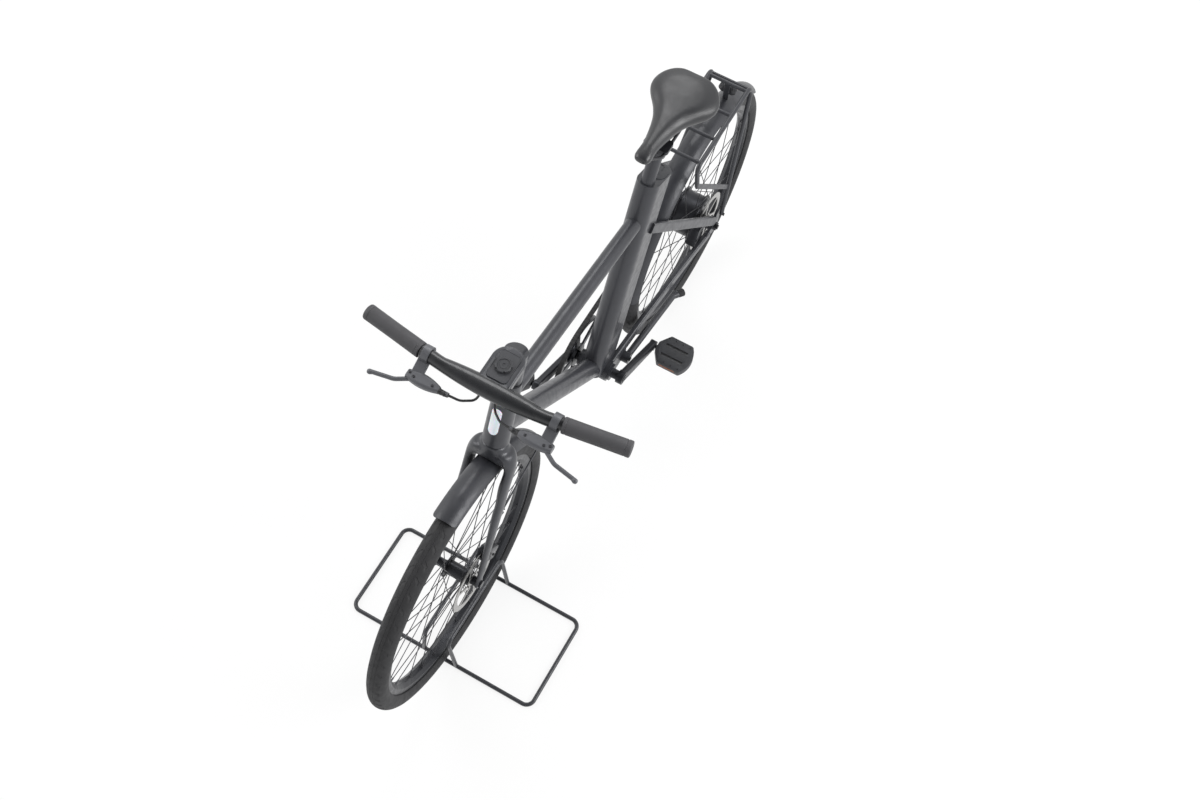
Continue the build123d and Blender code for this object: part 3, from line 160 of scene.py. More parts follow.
# %% Sky
DARK_POLE = tuple(CAMERA_AT.normalized())
PATCH_EDGE = 0.45
PATCH_CORE = 0.97
WALL_LIGHT = 1.15
CORE_LIGHT = 0.16
world = bpy.data.worlds.new("studio_sky")
bpy.context.scene.world = world
world.use_nodes = True
tree = world.node_tree
tree.nodes.clear()
rays = add_node(tree, "ShaderNodeLightPath")
seen = add_node(tree, "ShaderNodeMath", {"operation": "MAXIMUM"}, i0=rays.outputs["Is Camera Ray"],
                i1=rays.outputs["Is Transmission Ray"])
toward = add_node(tree, "ShaderNodeTexCoord").outputs["Generated"]
near_pole = add_node(tree, "ShaderNodeVectorMath", {"operation": "DOT_PRODUCT"}, i0=toward, i1=DARK_POLE)
bright = add_node(tree, "ShaderNodeMapRange", i0=near_pole.outputs["Value"], i1=PATCH_EDGE, i2=PATCH_CORE,
                  i3=WALL_LIGHT, i4=CORE_LIGHT).outputs[0]
sky = add_node(tree, "ShaderNodeBackground", Color=linear("#f6f6f6"), Strength=bright)
backdrop = add_node(tree, "ShaderNodeBackground", Color=linear("#ffffff"), Strength=1.0)
mix = add_node(tree, "ShaderNodeMixShader", i0=seen.outputs[0], i1=sky.outputs[0], i2=backdrop.outputs[0])
add_node(tree, "ShaderNodeOutputWorld", Surface=mix.outputs[0])
print("sky", len(tree.nodes), "nodes")

# %% [markdown]
# ## Lamps
# Three square soft boxes light the bike: one from each side to draw the edges of the tubes,
# and a weaker one behind that the flat tops of saddle and rack catch. A large lamp gives a
# soft edge to light and shadow, so size matters more than power.

# %% Lamps
def add_lamp(name, place, target, size, watts):
    """Square soft box at a place, turned towards its target; sizes in metres."""
    bpy.ops.object.light_add(type="AREA", location=place)
    lamp = bpy.context.object
    lamp.name = name
    lamp.data.size = size
    lamp.data.energy = watts
    lamp.rotation_euler = (Vector(target) - Vector(place)).to_track_quat("-Z", "Y").to_euler()


add_lamp("left_softbox", (-0.6, 3.2, 2.6), (0, 0, 0.5), 2.4, 110)
add_lamp("right_softbox", (0.8, -3.2, 2.4), (0, 0, 0.5), 2.4, 60)
add_lamp("rear_softbox", (-2.3, -1.1, 3.6), (0, 0, 0.6), 1.8, 36)
bpy.context.scene.view_settings.view_transform = "Standard"
print("studio ready")

# %% [markdown]
# ## Materials
# Each material starts from what the real part is made of and how its surface was made.
# Patterns use object coordinates in metres, so a scale of one over a size in metres gives
# that real size. Bump heights are in metres too.

# %% Material builder
def new_material(name, colour, rough, metallic=0.0, coat=0.0, ior=1.5):
    """A material with its shader; returns it with its tree, shader and coordinates."""
    material = bpy.data.materials.new(name)
    material.use_nodes = True
    tree = material.node_tree
    tree.nodes.clear()
    shader = add_node(tree, "ShaderNodeBsdfPrincipled", Base_Color=linear(colour), Roughness=rough,
                      Metallic=metallic, IOR=ior, Coat_Weight=coat)
    add_node(tree, "ShaderNodeOutputMaterial", Surface=shader.outputs[0])
    place = add_node(tree, "ShaderNodeTexCoord").outputs["Object"]
    return material, tree, shader, place


def per_feature(size_mm):
    """Scale that makes the features of a pattern about this size."""
    return 1 / (size_mm * MM)


# %% [markdown]
# ## Coats
# Paint, anodising and moulded plastic all share three things: a colour that is never quite
# even, a shine that varies a little where hands and air have been, and a fine relief. So
# one function builds them all. The tint changes over 60 mm and the shine over 14 mm. The
# relief follows each surface's own grain, but is drawn no finer than half a millimetre, so
# that it can still show.

# %% Coat builder
TINT_MM = 60
SHINE_MM = 14


def uneven(tree, shader, place, tints, tint_mm, gloss, shine_mm):
    """Cloudy colour between two tints, and a roughness that wanders between two values."""
    clouds = add_node(tree, "ShaderNodeTexNoise", Vector=place, Scale=per_feature(tint_mm), Detail=3)
    tint = add_node(tree, "ShaderNodeMix", {"data_type": "RGBA"}, i0=clouds.outputs["Fac"],
                    i6=linear(tints[0]), i7=linear(tints[1]))
    tree.links.new(tint.outputs[2], shader.inputs["Base Color"])
    patches = add_node(tree, "ShaderNodeTexNoise", Vector=place, Scale=per_feature(shine_mm), Detail=2)
    shine = add_node(tree, "ShaderNodeMapRange", i0=patches.outputs["Fac"], i1=0.35, i2=0.65,
                     i3=gloss[0], i4=gloss[1])
    tree.links.new(shine.outputs[0], shader.inputs["Roughness"])


def coated(name, dark, light, rough, metallic, grain_mm, depth_mm, coat=0.0):
    """Paint, anodising or moulded plastic: cloudy colour, uneven gloss and a fine skin."""
    material, tree, shader, place = new_material(name, light, rough, metallic, coat)
    uneven(tree, shader, place, (dark, light), TINT_MM, (rough - 0.05, rough + 0.06), SHINE_MM)
    grain = add_node(tree, "ShaderNodeTexNoise", Vector=place, Scale=per_feature(grain_mm), Detail=1)
    relief = add_node(tree, "ShaderNodeBump", Distance=depth_mm * MM, Strength=1.0,
                      Height=grain.outputs["Fac"])
    tree.links.new(relief.outputs[0], shader.inputs["Normal"])
    return material


# %% Metals, paints and plastics
# Powder coat on aluminium: satin, with the faint orange peel of melted powder.
frame_coat = coated("satin_powder_coat", "#303135", "#3b3c41", 0.38, 0.3, 1.6, 0.005, 0.2)
# Black paint on steel tube and aluminium strip: a softer shine than the frame's coat.
black_paint = coated("satin_black_paint", "#2e2f33", "#393a3f", 0.42, 0.2, 1.4, 0.004, 0.12)
# Bead-blasted and anodised aluminium: dark metal with a fine matt grain.
anodised = coated("black_anodised_aluminium", "#2a2b2f", "#36373b", 0.34, 0.65, 0.5, 0.008)
# Painted forged levers: a lighter grey.
lever_alloy = coated("painted_lever_alloy", "#505155", "#5e5f63", 0.42, 0.35, 0.8, 0.006, 0.1)
# Glass-filled nylon, moulded with a fine spark-eroded texture.
nylon = coated("moulded_glass_filled_nylon", "#2a2b2e", "#35363a", 0.5, 0.0, 0.7, 0.03)
# Smooth polypropylene covers, softer shine.
cover_plastic = coated("moulded_polypropylene", "#303135", "#3a3b3f", 0.48, 0.0, 1.0, 0.015)
# Moulded rubber of tyres: matt and slightly dusty, in patches.
tyre_rubber = coated("vulcanised_tyre_rubber", "#1c1c1e", "#29292b", 0.72, 0.0, 1.1, 0.03)
# Jacket of the brake hoses, drawn smooth.
hose_jacket = coated("extruded_hose_jacket", "#1b1b1d", "#242426", 0.45, 0.0, 0.8, 0.006)
# Belt of polyurethane over carbon cords: dull and almost black.
belt_rubber = coated("carbon_belt_polyurethane", "#161617", "#202022", 0.6, 0.0, 0.6, 0.02)
# Dark zinc plating on spokes, screws and saddle rails: a dull metal shine.
dark_steel = coated("zinc_plated_dark_steel", "#3c3c3f", "#4d4d50", 0.34, 0.9, 0.6, 0.006)
# Powder coat on the wire of the floor stand: satin, a shade darker than the frame's.
stand_coat = coated("powder_coated_steel_wire", "#2c2d31", "#38393e", 0.42, 0.2, 1.3, 0.006, 0.2)
print("materials", len(bpy.data.materials))

# %% [markdown]
# ## Belt teeth
# The belt has one tooth to each 11 mm of its length. Modelled teeth would take thousands
# of faces for a relief under a millimetre deep, so a wave pattern along the bike raises
# ribs of the right pitch in the bump alone.

# %% Belt teeth
BELT_PITCH_MM = 11
TOOTH_MM = 0.8
# The wave texture repeats every tau / 20 units at a scale of one.
WAVE_SPAN = math.tau / 20
belt_tree = belt_rubber.node_tree
belt_shader = next(node for node in belt_tree.nodes if node.type == "BSDF_PRINCIPLED")
belt_place = add_node(belt_tree, "ShaderNodeTexCoord").outputs["Object"]
teeth = add_node(belt_tree, "ShaderNodeTexWave", {"bands_direction": "X", "wave_profile": "SIN"},
                 Vector=belt_place, Scale=WAVE_SPAN * per_feature(BELT_PITCH_MM))
relief = add_node(belt_tree, "ShaderNodeBump", Distance=TOOTH_MM * MM, Strength=1.0,
                  Height=teeth.outputs["Fac"])
belt_tree.links.new(relief.outputs[0], belt_shader.inputs["Normal"])
print("belt teeth every", BELT_PITCH_MM, "mm")

# %% [markdown]
# ## Lamp lenses
# Lamp covers are frosted acrylic. Light goes a few millimetres in and scatters, so a glossy
# skin lies over a milky body. Subsurface scattering gives that, where plain transparency
# would show a hole. A trace of glow is painted light: the lenses shine a little though no
# lamp is lit, in place of the light that the white reflector behind sends back.

# %% Lamp lenses
SCATTER_MM = 4
FROST_MM = 2.5
FROST_DEPTH_MM = 0.02


def lens(name, colour, glow):
    """Frosted acrylic: light passes in and scatters, so it looks milky with a glossy skin."""
    material, tree, shader, place = new_material(name, colour, 0.12, coat=0.6, ior=1.49)
    shader.inputs["Subsurface Weight"].default_value = 0.4
    shader.inputs["Subsurface Scale"].default_value = SCATTER_MM * MM
    # Painted light: a faint glow in the lens colour, though no lamp is lit.
    shader.inputs["Emission Color"].default_value = linear(colour)
    shader.inputs["Emission Strength"].default_value = glow
    frost = add_node(tree, "ShaderNodeTexNoise", Vector=place, Scale=per_feature(FROST_MM), Detail=1)
    relief = add_node(tree, "ShaderNodeBump", Distance=FROST_DEPTH_MM * MM, Strength=1.0,
                      Height=frost.outputs["Fac"])
    tree.links.new(relief.outputs[0], shader.inputs["Normal"])
    return material


white_lens = lens("frosted_acrylic_white", "#e9ebf2", 0.08)
red_lens = lens("tinted_acrylic_red", "#8e1013", 0.02)
print("lenses", white_lens.name, red_lens.name)

# %% [markdown]
# ## Brake rotors
# A rotor is stainless steel ground while it spins, so its marks run in rings about the
# axle. The pattern therefore follows the distance from the axle, where a plain noise would
# look like cast metal. Rings half a millimetre wide are about as fine as can still show.

# %% Brake rotors
RING_MM = 0.5
RING_DEPTH_MM = 0.01


def ground_steel(name, axle):
    """Stainless steel ground round and round: fine rings centred on the axle."""
    material, tree, shader, place = new_material(name, "#b4b3b1", 0.3, metallic=1.0)
    moved = add_node(tree, "ShaderNodeMapping", Vector=place, Location=tuple(-axle)).outputs[0]
    apart = add_node(tree, "ShaderNodeSeparateXYZ", Vector=moved)
    flat = add_node(tree, "ShaderNodeCombineXYZ", X=apart.outputs[0], Y=apart.outputs[2])
    radius = add_node(tree, "ShaderNodeVectorMath", {"operation": "LENGTH"}, i0=flat.outputs[0])
    rings = add_node(tree, "ShaderNodeTexNoise", {"noise_dimensions": "1D"}, W=radius.outputs["Value"],
                     Scale=per_feature(RING_MM))
    shade = rings.outputs["Fac"]
    shine = add_node(tree, "ShaderNodeMapRange", i0=shade, i1=0.35, i2=0.65, i3=0.22, i4=0.42)
    tree.links.new(shine.outputs[0], shader.inputs["Roughness"])
    tint = add_node(tree, "ShaderNodeMix", {"data_type": "RGBA"}, i0=shade, i6=linear("#8f8e8c"),
                    i7=linear("#bdbcba"))
    tree.links.new(tint.outputs[2], shader.inputs["Base Color"])
    relief = add_node(tree, "ShaderNodeBump", Distance=RING_DEPTH_MM * MM, Strength=1.0, Height=shade)
    tree.links.new(relief.outputs[0], shader.inputs["Normal"])
    return material


front_rotor_steel = ground_steel("ground_rotor_steel_front", FRONT_AXLE)
rear_rotor_steel = ground_steel("ground_rotor_steel_rear", REAR_AXLE)
print("rotor steel centred on both axles")

# %% [markdown]
# ## Finishes for the CAD solids
# A solid whose shape is right stays and only gets its finish. The list pairs each finish
# with the nodes that the real bike has in it.

# %% Assign finishes
FINISHES = {
    frame_coat: ("head_tube", "top_tube", "down_tube", "seat_tube", "bottom_bracket", "chain_stays",
                 "seat_stays", "fork", "handlebar", "seat_post"),
    black_paint: ("rear_rack", "rear_mudguard", "front_mudguard", "kickstand", "kickstand_bracket"),
    anodised: ("headset", "saddle_clamp", "front_caliper", "rear_caliper", "front_rim", "rear_rim",
               "front_hub", "hub_motor", "rear_sprocket", "front_sprocket", "crank_left", "crank_right",
               "front_axle"),
    lever_alloy: ("brake_lever_left", "brake_lever_right"),
    dark_steel: ("rear_axle", "saddle_rails", "front_spokes", "rear_spokes"),
    nylon: ("pedal_left", "pedal_right", "battery_cap", "phone_mount"),
    cover_plastic: ("battery",),
    tyre_rubber: ("front_tyre", "rear_tyre", "grip_left", "grip_right", "saddle"),
    hose_jacket: ("brake_hose_left", "brake_hose_right"),
    belt_rubber: ("drive_belt",),
    white_lens: ("head_light",),
    red_lens: ("rear_light",),
    front_rotor_steel: ("front_rotor",),
    rear_rotor_steel: ("rear_rotor",),
    stand_coat: ("display_stand",),
}
finished = 0
for material, names in FINISHES.items():
    for name in names:
        for material_slot in NODES[name].material_slots:
            material_slot.material = material
        finished += 1
print("finished nodes", finished, "of", len(NODES))

# %% [markdown]
# ## Turned parts
# Bolts, caps, grips and valves are round about an axis. A circle is drawn out along Z,
# station by station, and grows or shrinks at each one. Spinning a profile would do as
# well, but extruding needs no merge at the seam and closes both ends by itself.

# %% Turned parts
def clear_selection():
    """Select nothing, so that the next operator acts on one object only."""
    bpy.ops.object.select_all(action="DESELECT")


def edit_all():
    """Enter edit mode with everything selected."""
    bpy.ops.object.mode_set(mode="EDIT")
    bpy.ops.mesh.select_all(action="SELECT")


def close_outward():
    """Turn all faces outwards and leave edit mode."""
    bpy.ops.mesh.select_all(action="SELECT")
    bpy.ops.mesh.normals_make_consistent(inside=False)
    bpy.ops.object.mode_set(mode="OBJECT")


def turned(stations, sides=24):
    """Closed round piece along Z from (height, radius) stations in millimetres."""
    clear_selection()
    height, radius = stations[0]
    bpy.ops.mesh.primitive_circle_add(vertices=sides, radius=radius * MM, fill_type="NGON")
    piece = bpy.context.object
    edit_all()
    bpy.ops.transform.translate(value=(0, 0, height * MM))
    for (low, old), (high, new) in zip(stations, stations[1:]):
        bpy.ops.mesh.extrude_region_move(TRANSFORM_OT_translate={"value": (0, 0, (high - low) * MM)})
        bpy.ops.transform.resize(value=(new / old, new / old, 1), center_override=(0, 0, high * MM))
    close_outward()
    return piece


print("lathe ready")

# %% [markdown]
# ## Copies and finishing
# A part that repeats is modelled once at the origin, standing on Z. Each copy gets its own
# mesh and a matrix that stands it on its place, and all are joined. Finishing then moves
# the place into the mesh, so that the object itself sits at the origin, shades it by the
# angle between faces, and tells the frame which body it rides on.

# %% Copies and finishing
def standing(place, toward):
    """Matrix that stands a model on a place with its Z axis along a direction."""
    return Matrix.Translation(place) @ Vector(toward).to_track_quat("Z", "Y").to_matrix().to_4x4()


def repeated(model, places):
    """Copy a model to each place, each copy with its own mesh, and join the copies."""
    clear_selection()
    for place in places:
        copy = model.copy()
        copy.data = model.data.copy()
        bpy.context.collection.objects.link(copy)
        copy.matrix_world = place
        copy.select_set(True)
        bpy.context.view_layer.objects.active = copy
    bpy.data.objects.remove(model)
    if len(places) > 1:
        bpy.ops.object.join()
    return bpy.context.object


def finish_piece(piece, name, body, material, crease=35):
    """Name, shade and paint a piece, put its origin on the frame's and let it ride."""
    clear_selection()
    piece.select_set(True)
    bpy.context.view_layer.objects.active = piece
    bpy.ops.object.transform_apply(location=True, rotation=True, scale=True)
    bpy.ops.object.shade_smooth_by_angle(angle=math.radians(crease))
    piece.name = name
    piece.data.name = name
    if material:
        piece.data.materials.clear()
        piece.data.materials.append(material)
    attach(piece, body)
    print(name, "faces", len(piece.data.polygons))
    return piece


print("finishing ready")

# %% [markdown]
# ## Seats for screws
# A screw head has to lie on the face that it clamps, wherever that face is. So a ray is
# cast at the solid, as if the screw were pushed in from outside, and the head stands
# where the ray lands. Measuring by eye would leave heads sunk or floating.

# %% Seats for screws
def surface_of(node, start, toward):
    """Where a ray from a start point meets a solid, and the way its face looks."""
    hit, place, normal, _ = NODES[node].ray_cast(Vector(start), Vector(toward))
    if not hit:
        raise RuntimeError(f"no face of {node} from {tuple(start)}")
    return place, normal


def screw(head_r, head_h):
    """Cap screw head: slightly domed edge and a socket in the middle."""
    return turned([(0, head_r), (head_h * 0.8, head_r), (head_h, head_r * 0.86), (head_h, head_r * 0.52),
                   (head_h * 0.35, head_r * 0.5)], sides=18)


def seat_screws(name, node, rays, body, head_r, head_h):
    """Set one screw head on a solid at each ray (start, direction), all as one piece."""
    places = []
    for start, toward in rays:
        place, _ = surface_of(node, start, toward)
        places.append(standing(place, -Vector(toward)))
    piece = repeated(screw(head_r, head_h), places)
    finish_piece(piece, name, body, dark_steel)


print("seats ready")

# %% [markdown]
# ## Tyres
# A city tyre is a round casing with a thin tread. Its section is a ring of points, most of
# them on one arc, and spun about the axle it gives the whole tyre. The points lie closer
# together on the crown, because the tread is cut from those faces later.

# %% Tyre section
SPIN_STEPS = 240
BEAD_R = 292.2
LIP_R = 298.2
TYRE_R = 339.0
BELLY_R = 23.5
BEAD_HALF = 11.3
TREAD_EDGE = 45
TREAD_BANDS = 14
WALL_BANDS = 6
MERGE_GAP = 0.02 * MM


def tyre_section():
    """Points (radius, y) in millimetres, round the outside and back along the beads."""
    middle = TYRE_R - BELLY_R
    lip_angle = math.degrees(math.acos((LIP_R - middle) / BELLY_R))
    angles = [-lip_angle + (lip_angle - TREAD_EDGE) * k / WALL_BANDS for k in range(WALL_BANDS)]
    angles += [-TREAD_EDGE + 2 * TREAD_EDGE * k / TREAD_BANDS for k in range(TREAD_BANDS + 1)]
    angles += [TREAD_EDGE + (lip_angle - TREAD_EDGE) * k / WALL_BANDS for k in range(1, WALL_BANDS + 1)]
    turns = [math.radians(angle) for angle in angles]
    outside = [(middle + BELLY_R * math.cos(turn), BELLY_R * math.sin(turn)) for turn in turns]
    return outside + [(LIP_R, BEAD_HALF), (BEAD_R, BEAD_HALF), (BEAD_R, -BEAD_HALF), (LIP_R, -BEAD_HALF)]


def spun_tyre():
    """The tyre about the Y axis at the origin."""
    section = tyre_section()
    clear_selection()
    bpy.ops.mesh.primitive_circle_add(vertices=len(section), radius=0.02)
    tyre = bpy.context.object
    for vertex, (radius, y) in zip(tyre.data.vertices, section):
        vertex.co = (radius * MM, y * MM, 0)
    edit_all()
    bpy.ops.mesh.spin(steps=SPIN_STEPS, angle=math.tau, center=(0, 0, 0), axis=(0, 1, 0),
                      use_auto_merge=True)
    bpy.ops.mesh.select_all(action="SELECT")
    bpy.ops.mesh.remove_doubles(threshold=MERGE_GAP)
    close_outward()
    return tyre


tyre_model = spun_tyre()
print("tyre section", len(tyre_section()), "points, casing", len(tyre_model.data.polygons), "faces")

# %% [markdown]
# ## Tread
# Two grooves run right round a city tyre, and short slanted cuts drain each shoulder. Faces
# picked by their place are inset and sunk, which leaves a walled cut, and a twist that
# grows towards the shoulders then slants the cuts into a chevron. Bump alone would leave
# the tyre's outline smooth.

# %% Tread
AXLES = {"front": FRONT_AXLE, "rear": REAR_AXLE}
CUT_EVERY = 4
SHOULDER_FROM = 7.9
SHOULDER_TO = 16.4
GROOVE_FROM = 2.7
GROOVE_TO = 5.2
OUTER_FROM_R = LIP_R + 5
TWIST_REACH = 16 * MM
CHEVRON_TWIST = math.radians(3.0) / TWIST_REACH


def sink_faces(piece, wanted, edge_mm, depth_mm):
    """Inset the faces for which wanted(face) is true and sink them."""
    for face in piece.data.polygons:
        face.select = wanted(face)
    for edge in piece.data.edges:
        edge.select = False
    for vertex in piece.data.vertices:
        vertex.select = False
    bpy.context.view_layer.objects.active = piece
    bpy.ops.object.mode_set(mode="EDIT")
    bpy.ops.mesh.select_mode(type="FACE")
    bpy.ops.mesh.inset(thickness=edge_mm * MM, depth=-depth_mm * MM, use_even_offset=True)
    bpy.ops.object.mode_set(mode="OBJECT")


def step_of(face):
    """Which spin step a face of the tyre lies in."""
    turn = math.atan2(face.center.z, face.center.x) % math.tau
    return int(turn / math.tau * SPIN_STEPS)


def is_shoulder_cut(face):
    """One face in four on each shoulder, with the two shoulders half a pitch apart."""
    radius = math.hypot(face.center.x, face.center.z) / MM
    side = abs(face.center.y) / MM
    offset = 0 if face.center.y > 0 else CUT_EVERY // 2
    on_shoulder = radius > OUTER_FROM_R and SHOULDER_FROM < side < SHOULDER_TO
    return on_shoulder and step_of(face) % CUT_EVERY == offset


def is_ring_groove(face):
    """Faces of the two bands that run round the crown."""
    radius = math.hypot(face.center.x, face.center.z) / MM
    return radius > OUTER_FROM_R and GROOVE_FROM < abs(face.center.y) / MM < GROOVE_TO


sink_faces(tyre_model, is_shoulder_cut, 0.8, 0.7)
sink_faces(tyre_model, is_ring_groove, 0.5, 0.5)
for vertex in tyre_model.data.vertices:
    twist = CHEVRON_TWIST * min(abs(vertex.co.y), TWIST_REACH)
    vertex.co = Matrix.Rotation(twist, 3, "Y") @ vertex.co
for end, axle in AXLES.items():
    copy = tyre_model.copy()
    copy.data = tyre_model.data.copy()
    bpy.context.collection.objects.link(copy)
    copy.matrix_world = Matrix.Translation(axle)
    finish_piece(copy, f"{end}_tyre_tread", f"{end}_wheel", tyre_rubber, crease=40)
    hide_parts(f"{end}_tyre")
bpy.data.objects.remove(tyre_model)

# %% [markdown]
# ## Spoke nipples and valves
# Each spoke screws into a dark nipple that pokes out of the rim towards the hub. The rim
# end of every spoke follows from the lacing: sixteen a side, leaning forwards and back in
# turn. The valve stands in the gap between two crossed pairs.

# %% Nipples and valves
PER_SIDE = 16
LACE_TURN = 50.6
RIM_END_R = 277.0
RIM_END_Y = 2 * MM
VALVE_AT = 84
# Radius in millimetres and half width in metres of the spoke flanges.
FLANGES = {"front": (23.0, 24 * MM), "rear": (58.0, 26 * MM)}


def about(axle, radius_mm, angle_deg, y):
    """Place at a radius and angle round an axle, at a distance y from the middle plane."""
    turn = math.radians(angle_deg)
    return Vector((axle.x + radius_mm * MM * math.cos(turn), y, axle.z + radius_mm * MM * math.sin(turn)))


def spoke_ends(end, axle):
    """Rim end of each spoke and its direction, from the rim towards the hub."""
    flange_r, flange_y = FLANGES[end]
    for side in (1, -1):
        for index in range(PER_SIDE):
            lean = 1 if index % 2 else -1
            at_hub = index * 360 / PER_SIDE + (180 / PER_SIDE if side < 0 else 0)
            hub = about(axle, flange_r, at_hub, side * flange_y)
            rim = about(axle, RIM_END_R, at_hub + lean * LACE_TURN, side * RIM_END_Y)
            yield rim, (hub - rim).normalized()


for end, axle in AXLES.items():
    nipple = turned([(-1, 2.4), (0.6, 2.4), (1.2, 1.9), (9, 1.8), (10, 1.3)], sides=12)
    piece = repeated(nipple, [standing(rim, inward) for rim, inward in spoke_ends(end, axle)])
    finish_piece(piece, f"{end}_nipples", f"{end}_wheel", dark_steel)
    valve = turned([(-2, 3.6), (3, 3.6), (3.4, 2.9), (26, 2.9), (26.4, 3.9), (29, 4.1), (37, 4.1),
                    (39, 3.2)], sides=18)
    place = about(axle, RIM_END_R, VALVE_AT, 0)
    piece = repeated(valve, [standing(place, axle - place)])
    finish_piece(piece, f"{end}_valve", f"{end}_wheel", hose_jacket)

# %% [markdown]
# ## Bolts on hubs
# A brake rotor is held by six small screws and the motor's side covers by a larger ring of
# eight. A ring is a loop over equal angles, and each screw gets its own ray along Y.

# %% Bolt rings
def ring_rays(axle, radius_mm, count, y, side, start_deg=0):
    """Rays along Y towards the middle plane, evenly round an axle."""
    return [(about(axle, radius_mm, start_deg + k * 360 / count, y), (0, -side, 0)) for k in range(count)]


SIDES = (("left", 1), ("right", -1))
# Rings of rotor and motor screws: radius in millimetres, count, and start of the rays.
ROTOR_RING_R = 19.6
ROTOR_SCREWS = 6
ROTOR_RAY_Y = {"front": 45 * MM, "rear": 52 * MM}
MOTOR_RING_R = 42
MOTOR_SCREWS = 8
MOTOR_RAY_Y = 43 * MM
MOTOR_START = 22.5
for end, axle in AXLES.items():
    rays = ring_rays(axle, ROTOR_RING_R, ROTOR_SCREWS, ROTOR_RAY_Y[end], 1)
    seat_screws(f"{end}_rotor_screws", f"{end}_rotor", rays, f"{end}_wheel", 2.1, 1.4)
for word, side in SIDES:
    rays = ring_rays(REAR_AXLE, MOTOR_RING_R, MOTOR_SCREWS, side * MOTOR_RAY_Y, side, MOTOR_START)
    seat_screws(f"motor_screws_{word}", "hub_motor", rays, "rear_wheel", 2.8, 1.6)

# %% [markdown]
# ## Crank caps
# A round cap with a key socket closes each crank's bolt hole. It is a turned part, seated
# on the crank's outer face in line with the bracket's axis.

# %% Crank caps
CRANK_RAY_Y = 120 * MM
for word, side in SIDES:
    place, _ = surface_of(f"crank_{word}", (BRACKET.x, side * CRANK_RAY_Y, BRACKET.z), (0, -side, 0))
    cap = turned([(0, 10.5), (0.8, 10.5), (1.6, 9.6), (1.6, 5.2), (0.4, 5)], sides=32)
    finish_piece(repeated(cap, [standing(place, (0, side, 0))]), f"crank_cap_{word}", "crankset",
                 anodised)

# %% [markdown]
# ## Grips
# The grips are moulded rubber sleeves: a plain collar beside the lever, a finely textured
# middle and a closed round end. A turned part gives the form, with its narrow grooves at
# the stations, and the rubber's relief the texture. They replace the plain CAD sleeves.

# %% Grips
BAR_SWEEP = math.tan(math.radians(8.5))
BAR_BEND_Y = 112
BAR_HALF_DEPTH = 20
GRIP_FROM_Y = 156
BAR_END_Y = 291
BAR_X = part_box("handlebar")[1].x / MM - BAR_HALF_DEPTH
BAR_Z = centre_of("grip_left").z / MM


def bar_point(y):
    """Centre line of the bar: straight in the middle, swept back outside the bends."""
    return Vector((BAR_X - max(0, abs(y) - BAR_BEND_Y) * BAR_SWEEP, y, BAR_Z)) * MM


grip_rubber = coated("moulded_grip_rubber", "#3a3a3c", "#464548", 0.62, 0.0, 1.3, 0.12)
for word, side in SIDES:
    start, end = bar_point(side * GRIP_FROM_Y), bar_point(side * BAR_END_Y)
    along = (end - start).normalized()
    length = (end - start).length / MM
    sleeve = turned([(0, 15.8), (0.8, 16.8), (6, 17), (6.6, 16.4), (8.2, 16.4), (8.8, 16.9),
                     (length * 0.5, 16.6), (length - 12, 16.9), (length - 11.4, 16.3), (length - 10, 16.3),
                     (length - 9.4, 17), (length - 2.5, 17), (length - 0.7, 16), (length, 14),
                     (length, 9), (length - 0.8, 8.4)], sides=48)
    piece = repeated(sleeve, [standing(start, along)])
    finish_piece(piece, f"grip_sleeve_{word}", "steering", grip_rubber)
    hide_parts(f"grip_{word}")

# %% [markdown]
# ## Brake levers
# The body of each lever is a flat die-cast box: a lid with three screws on top, a rubber
# boot where the hose leaves and a blade that ends in a ball, so that it cannot hurt the
# rider. The lever solids stay, and these turned pieces sit on them.

# %% Lever details
LEVER_Y = 142
HEAD_FROM_BAR = Vector((46, 0, -20)) * MM
LID_SPOTS = ((-3, 12), (2, 1), (1, -40))
BOOT_FROM_HEAD = 54
BLADE_END = (30, 84, -6)
for word, side in SIDES:
    lever = f"brake_lever_{word}"
    head = bar_point(side * LEVER_Y) + HEAD_FROM_BAR
    above = head.z + 40 * MM
    rays = [((head.x + dx * MM, head.y + side * dy * MM, above), (0, 0, -1)) for dx, dy in LID_SPOTS]
    seat_screws(f"lever_screws_{word}", lever, rays, "steering", 3.2, 1.3)
    boot = turned([(-1, 6.4), (1.5, 6.6), (2.5, 6.0), (7, 5.9), (7.6, 5.4), (11, 5.3), (11.6, 5.6),
                   (14, 5.4), (14.6, 4.9), (20, 4.2), (21.5, 3.2)], sides=28)
    nose = head + Vector((1, -side * BOOT_FROM_HEAD, 0)) * MM
    finish_piece(repeated(boot, [standing(nose, (0, -side, 0))]), f"lever_boot_{word}", "steering",
                 hose_jacket)
    ball = turned([(-6, 4.0), (-4, 4.7), (-1.5, 5.4), (1.2, 5.4), (3.6, 4.4), (4.8, 2.9), (5.3, 1.2)],
                  sides=24)
    blade_end = head + Vector((BLADE_END[0], side * BLADE_END[1], BLADE_END[2])) * MM
    finish_piece(repeated(ball, [standing(blade_end, (8, side * 50, -3))]), f"lever_tip_{word}", "steering",
                 lever_alloy, crease=60)
print("levers dressed")

# %% [markdown]
# ## Phone mount
# The stem block carries a twist-lock disc for a phone case: a ring with a raised edge, six
# shallow finger notches and a low boss in the middle, on an inset plate with rounded
# corners. The plate is a flat face whose corners are bevelled before it is drawn up, and
# the disc is turned, with a few of its edge points pushed in for the notches.

# %% Mount plate
PLATE_LONG = 66 * MM
PLATE_WIDE = 46 * MM
mount_low, mount_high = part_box("phone_mount")
mount_middle = Vector(((mount_low.x + mount_high.x) / 2, 0, mount_low.z))


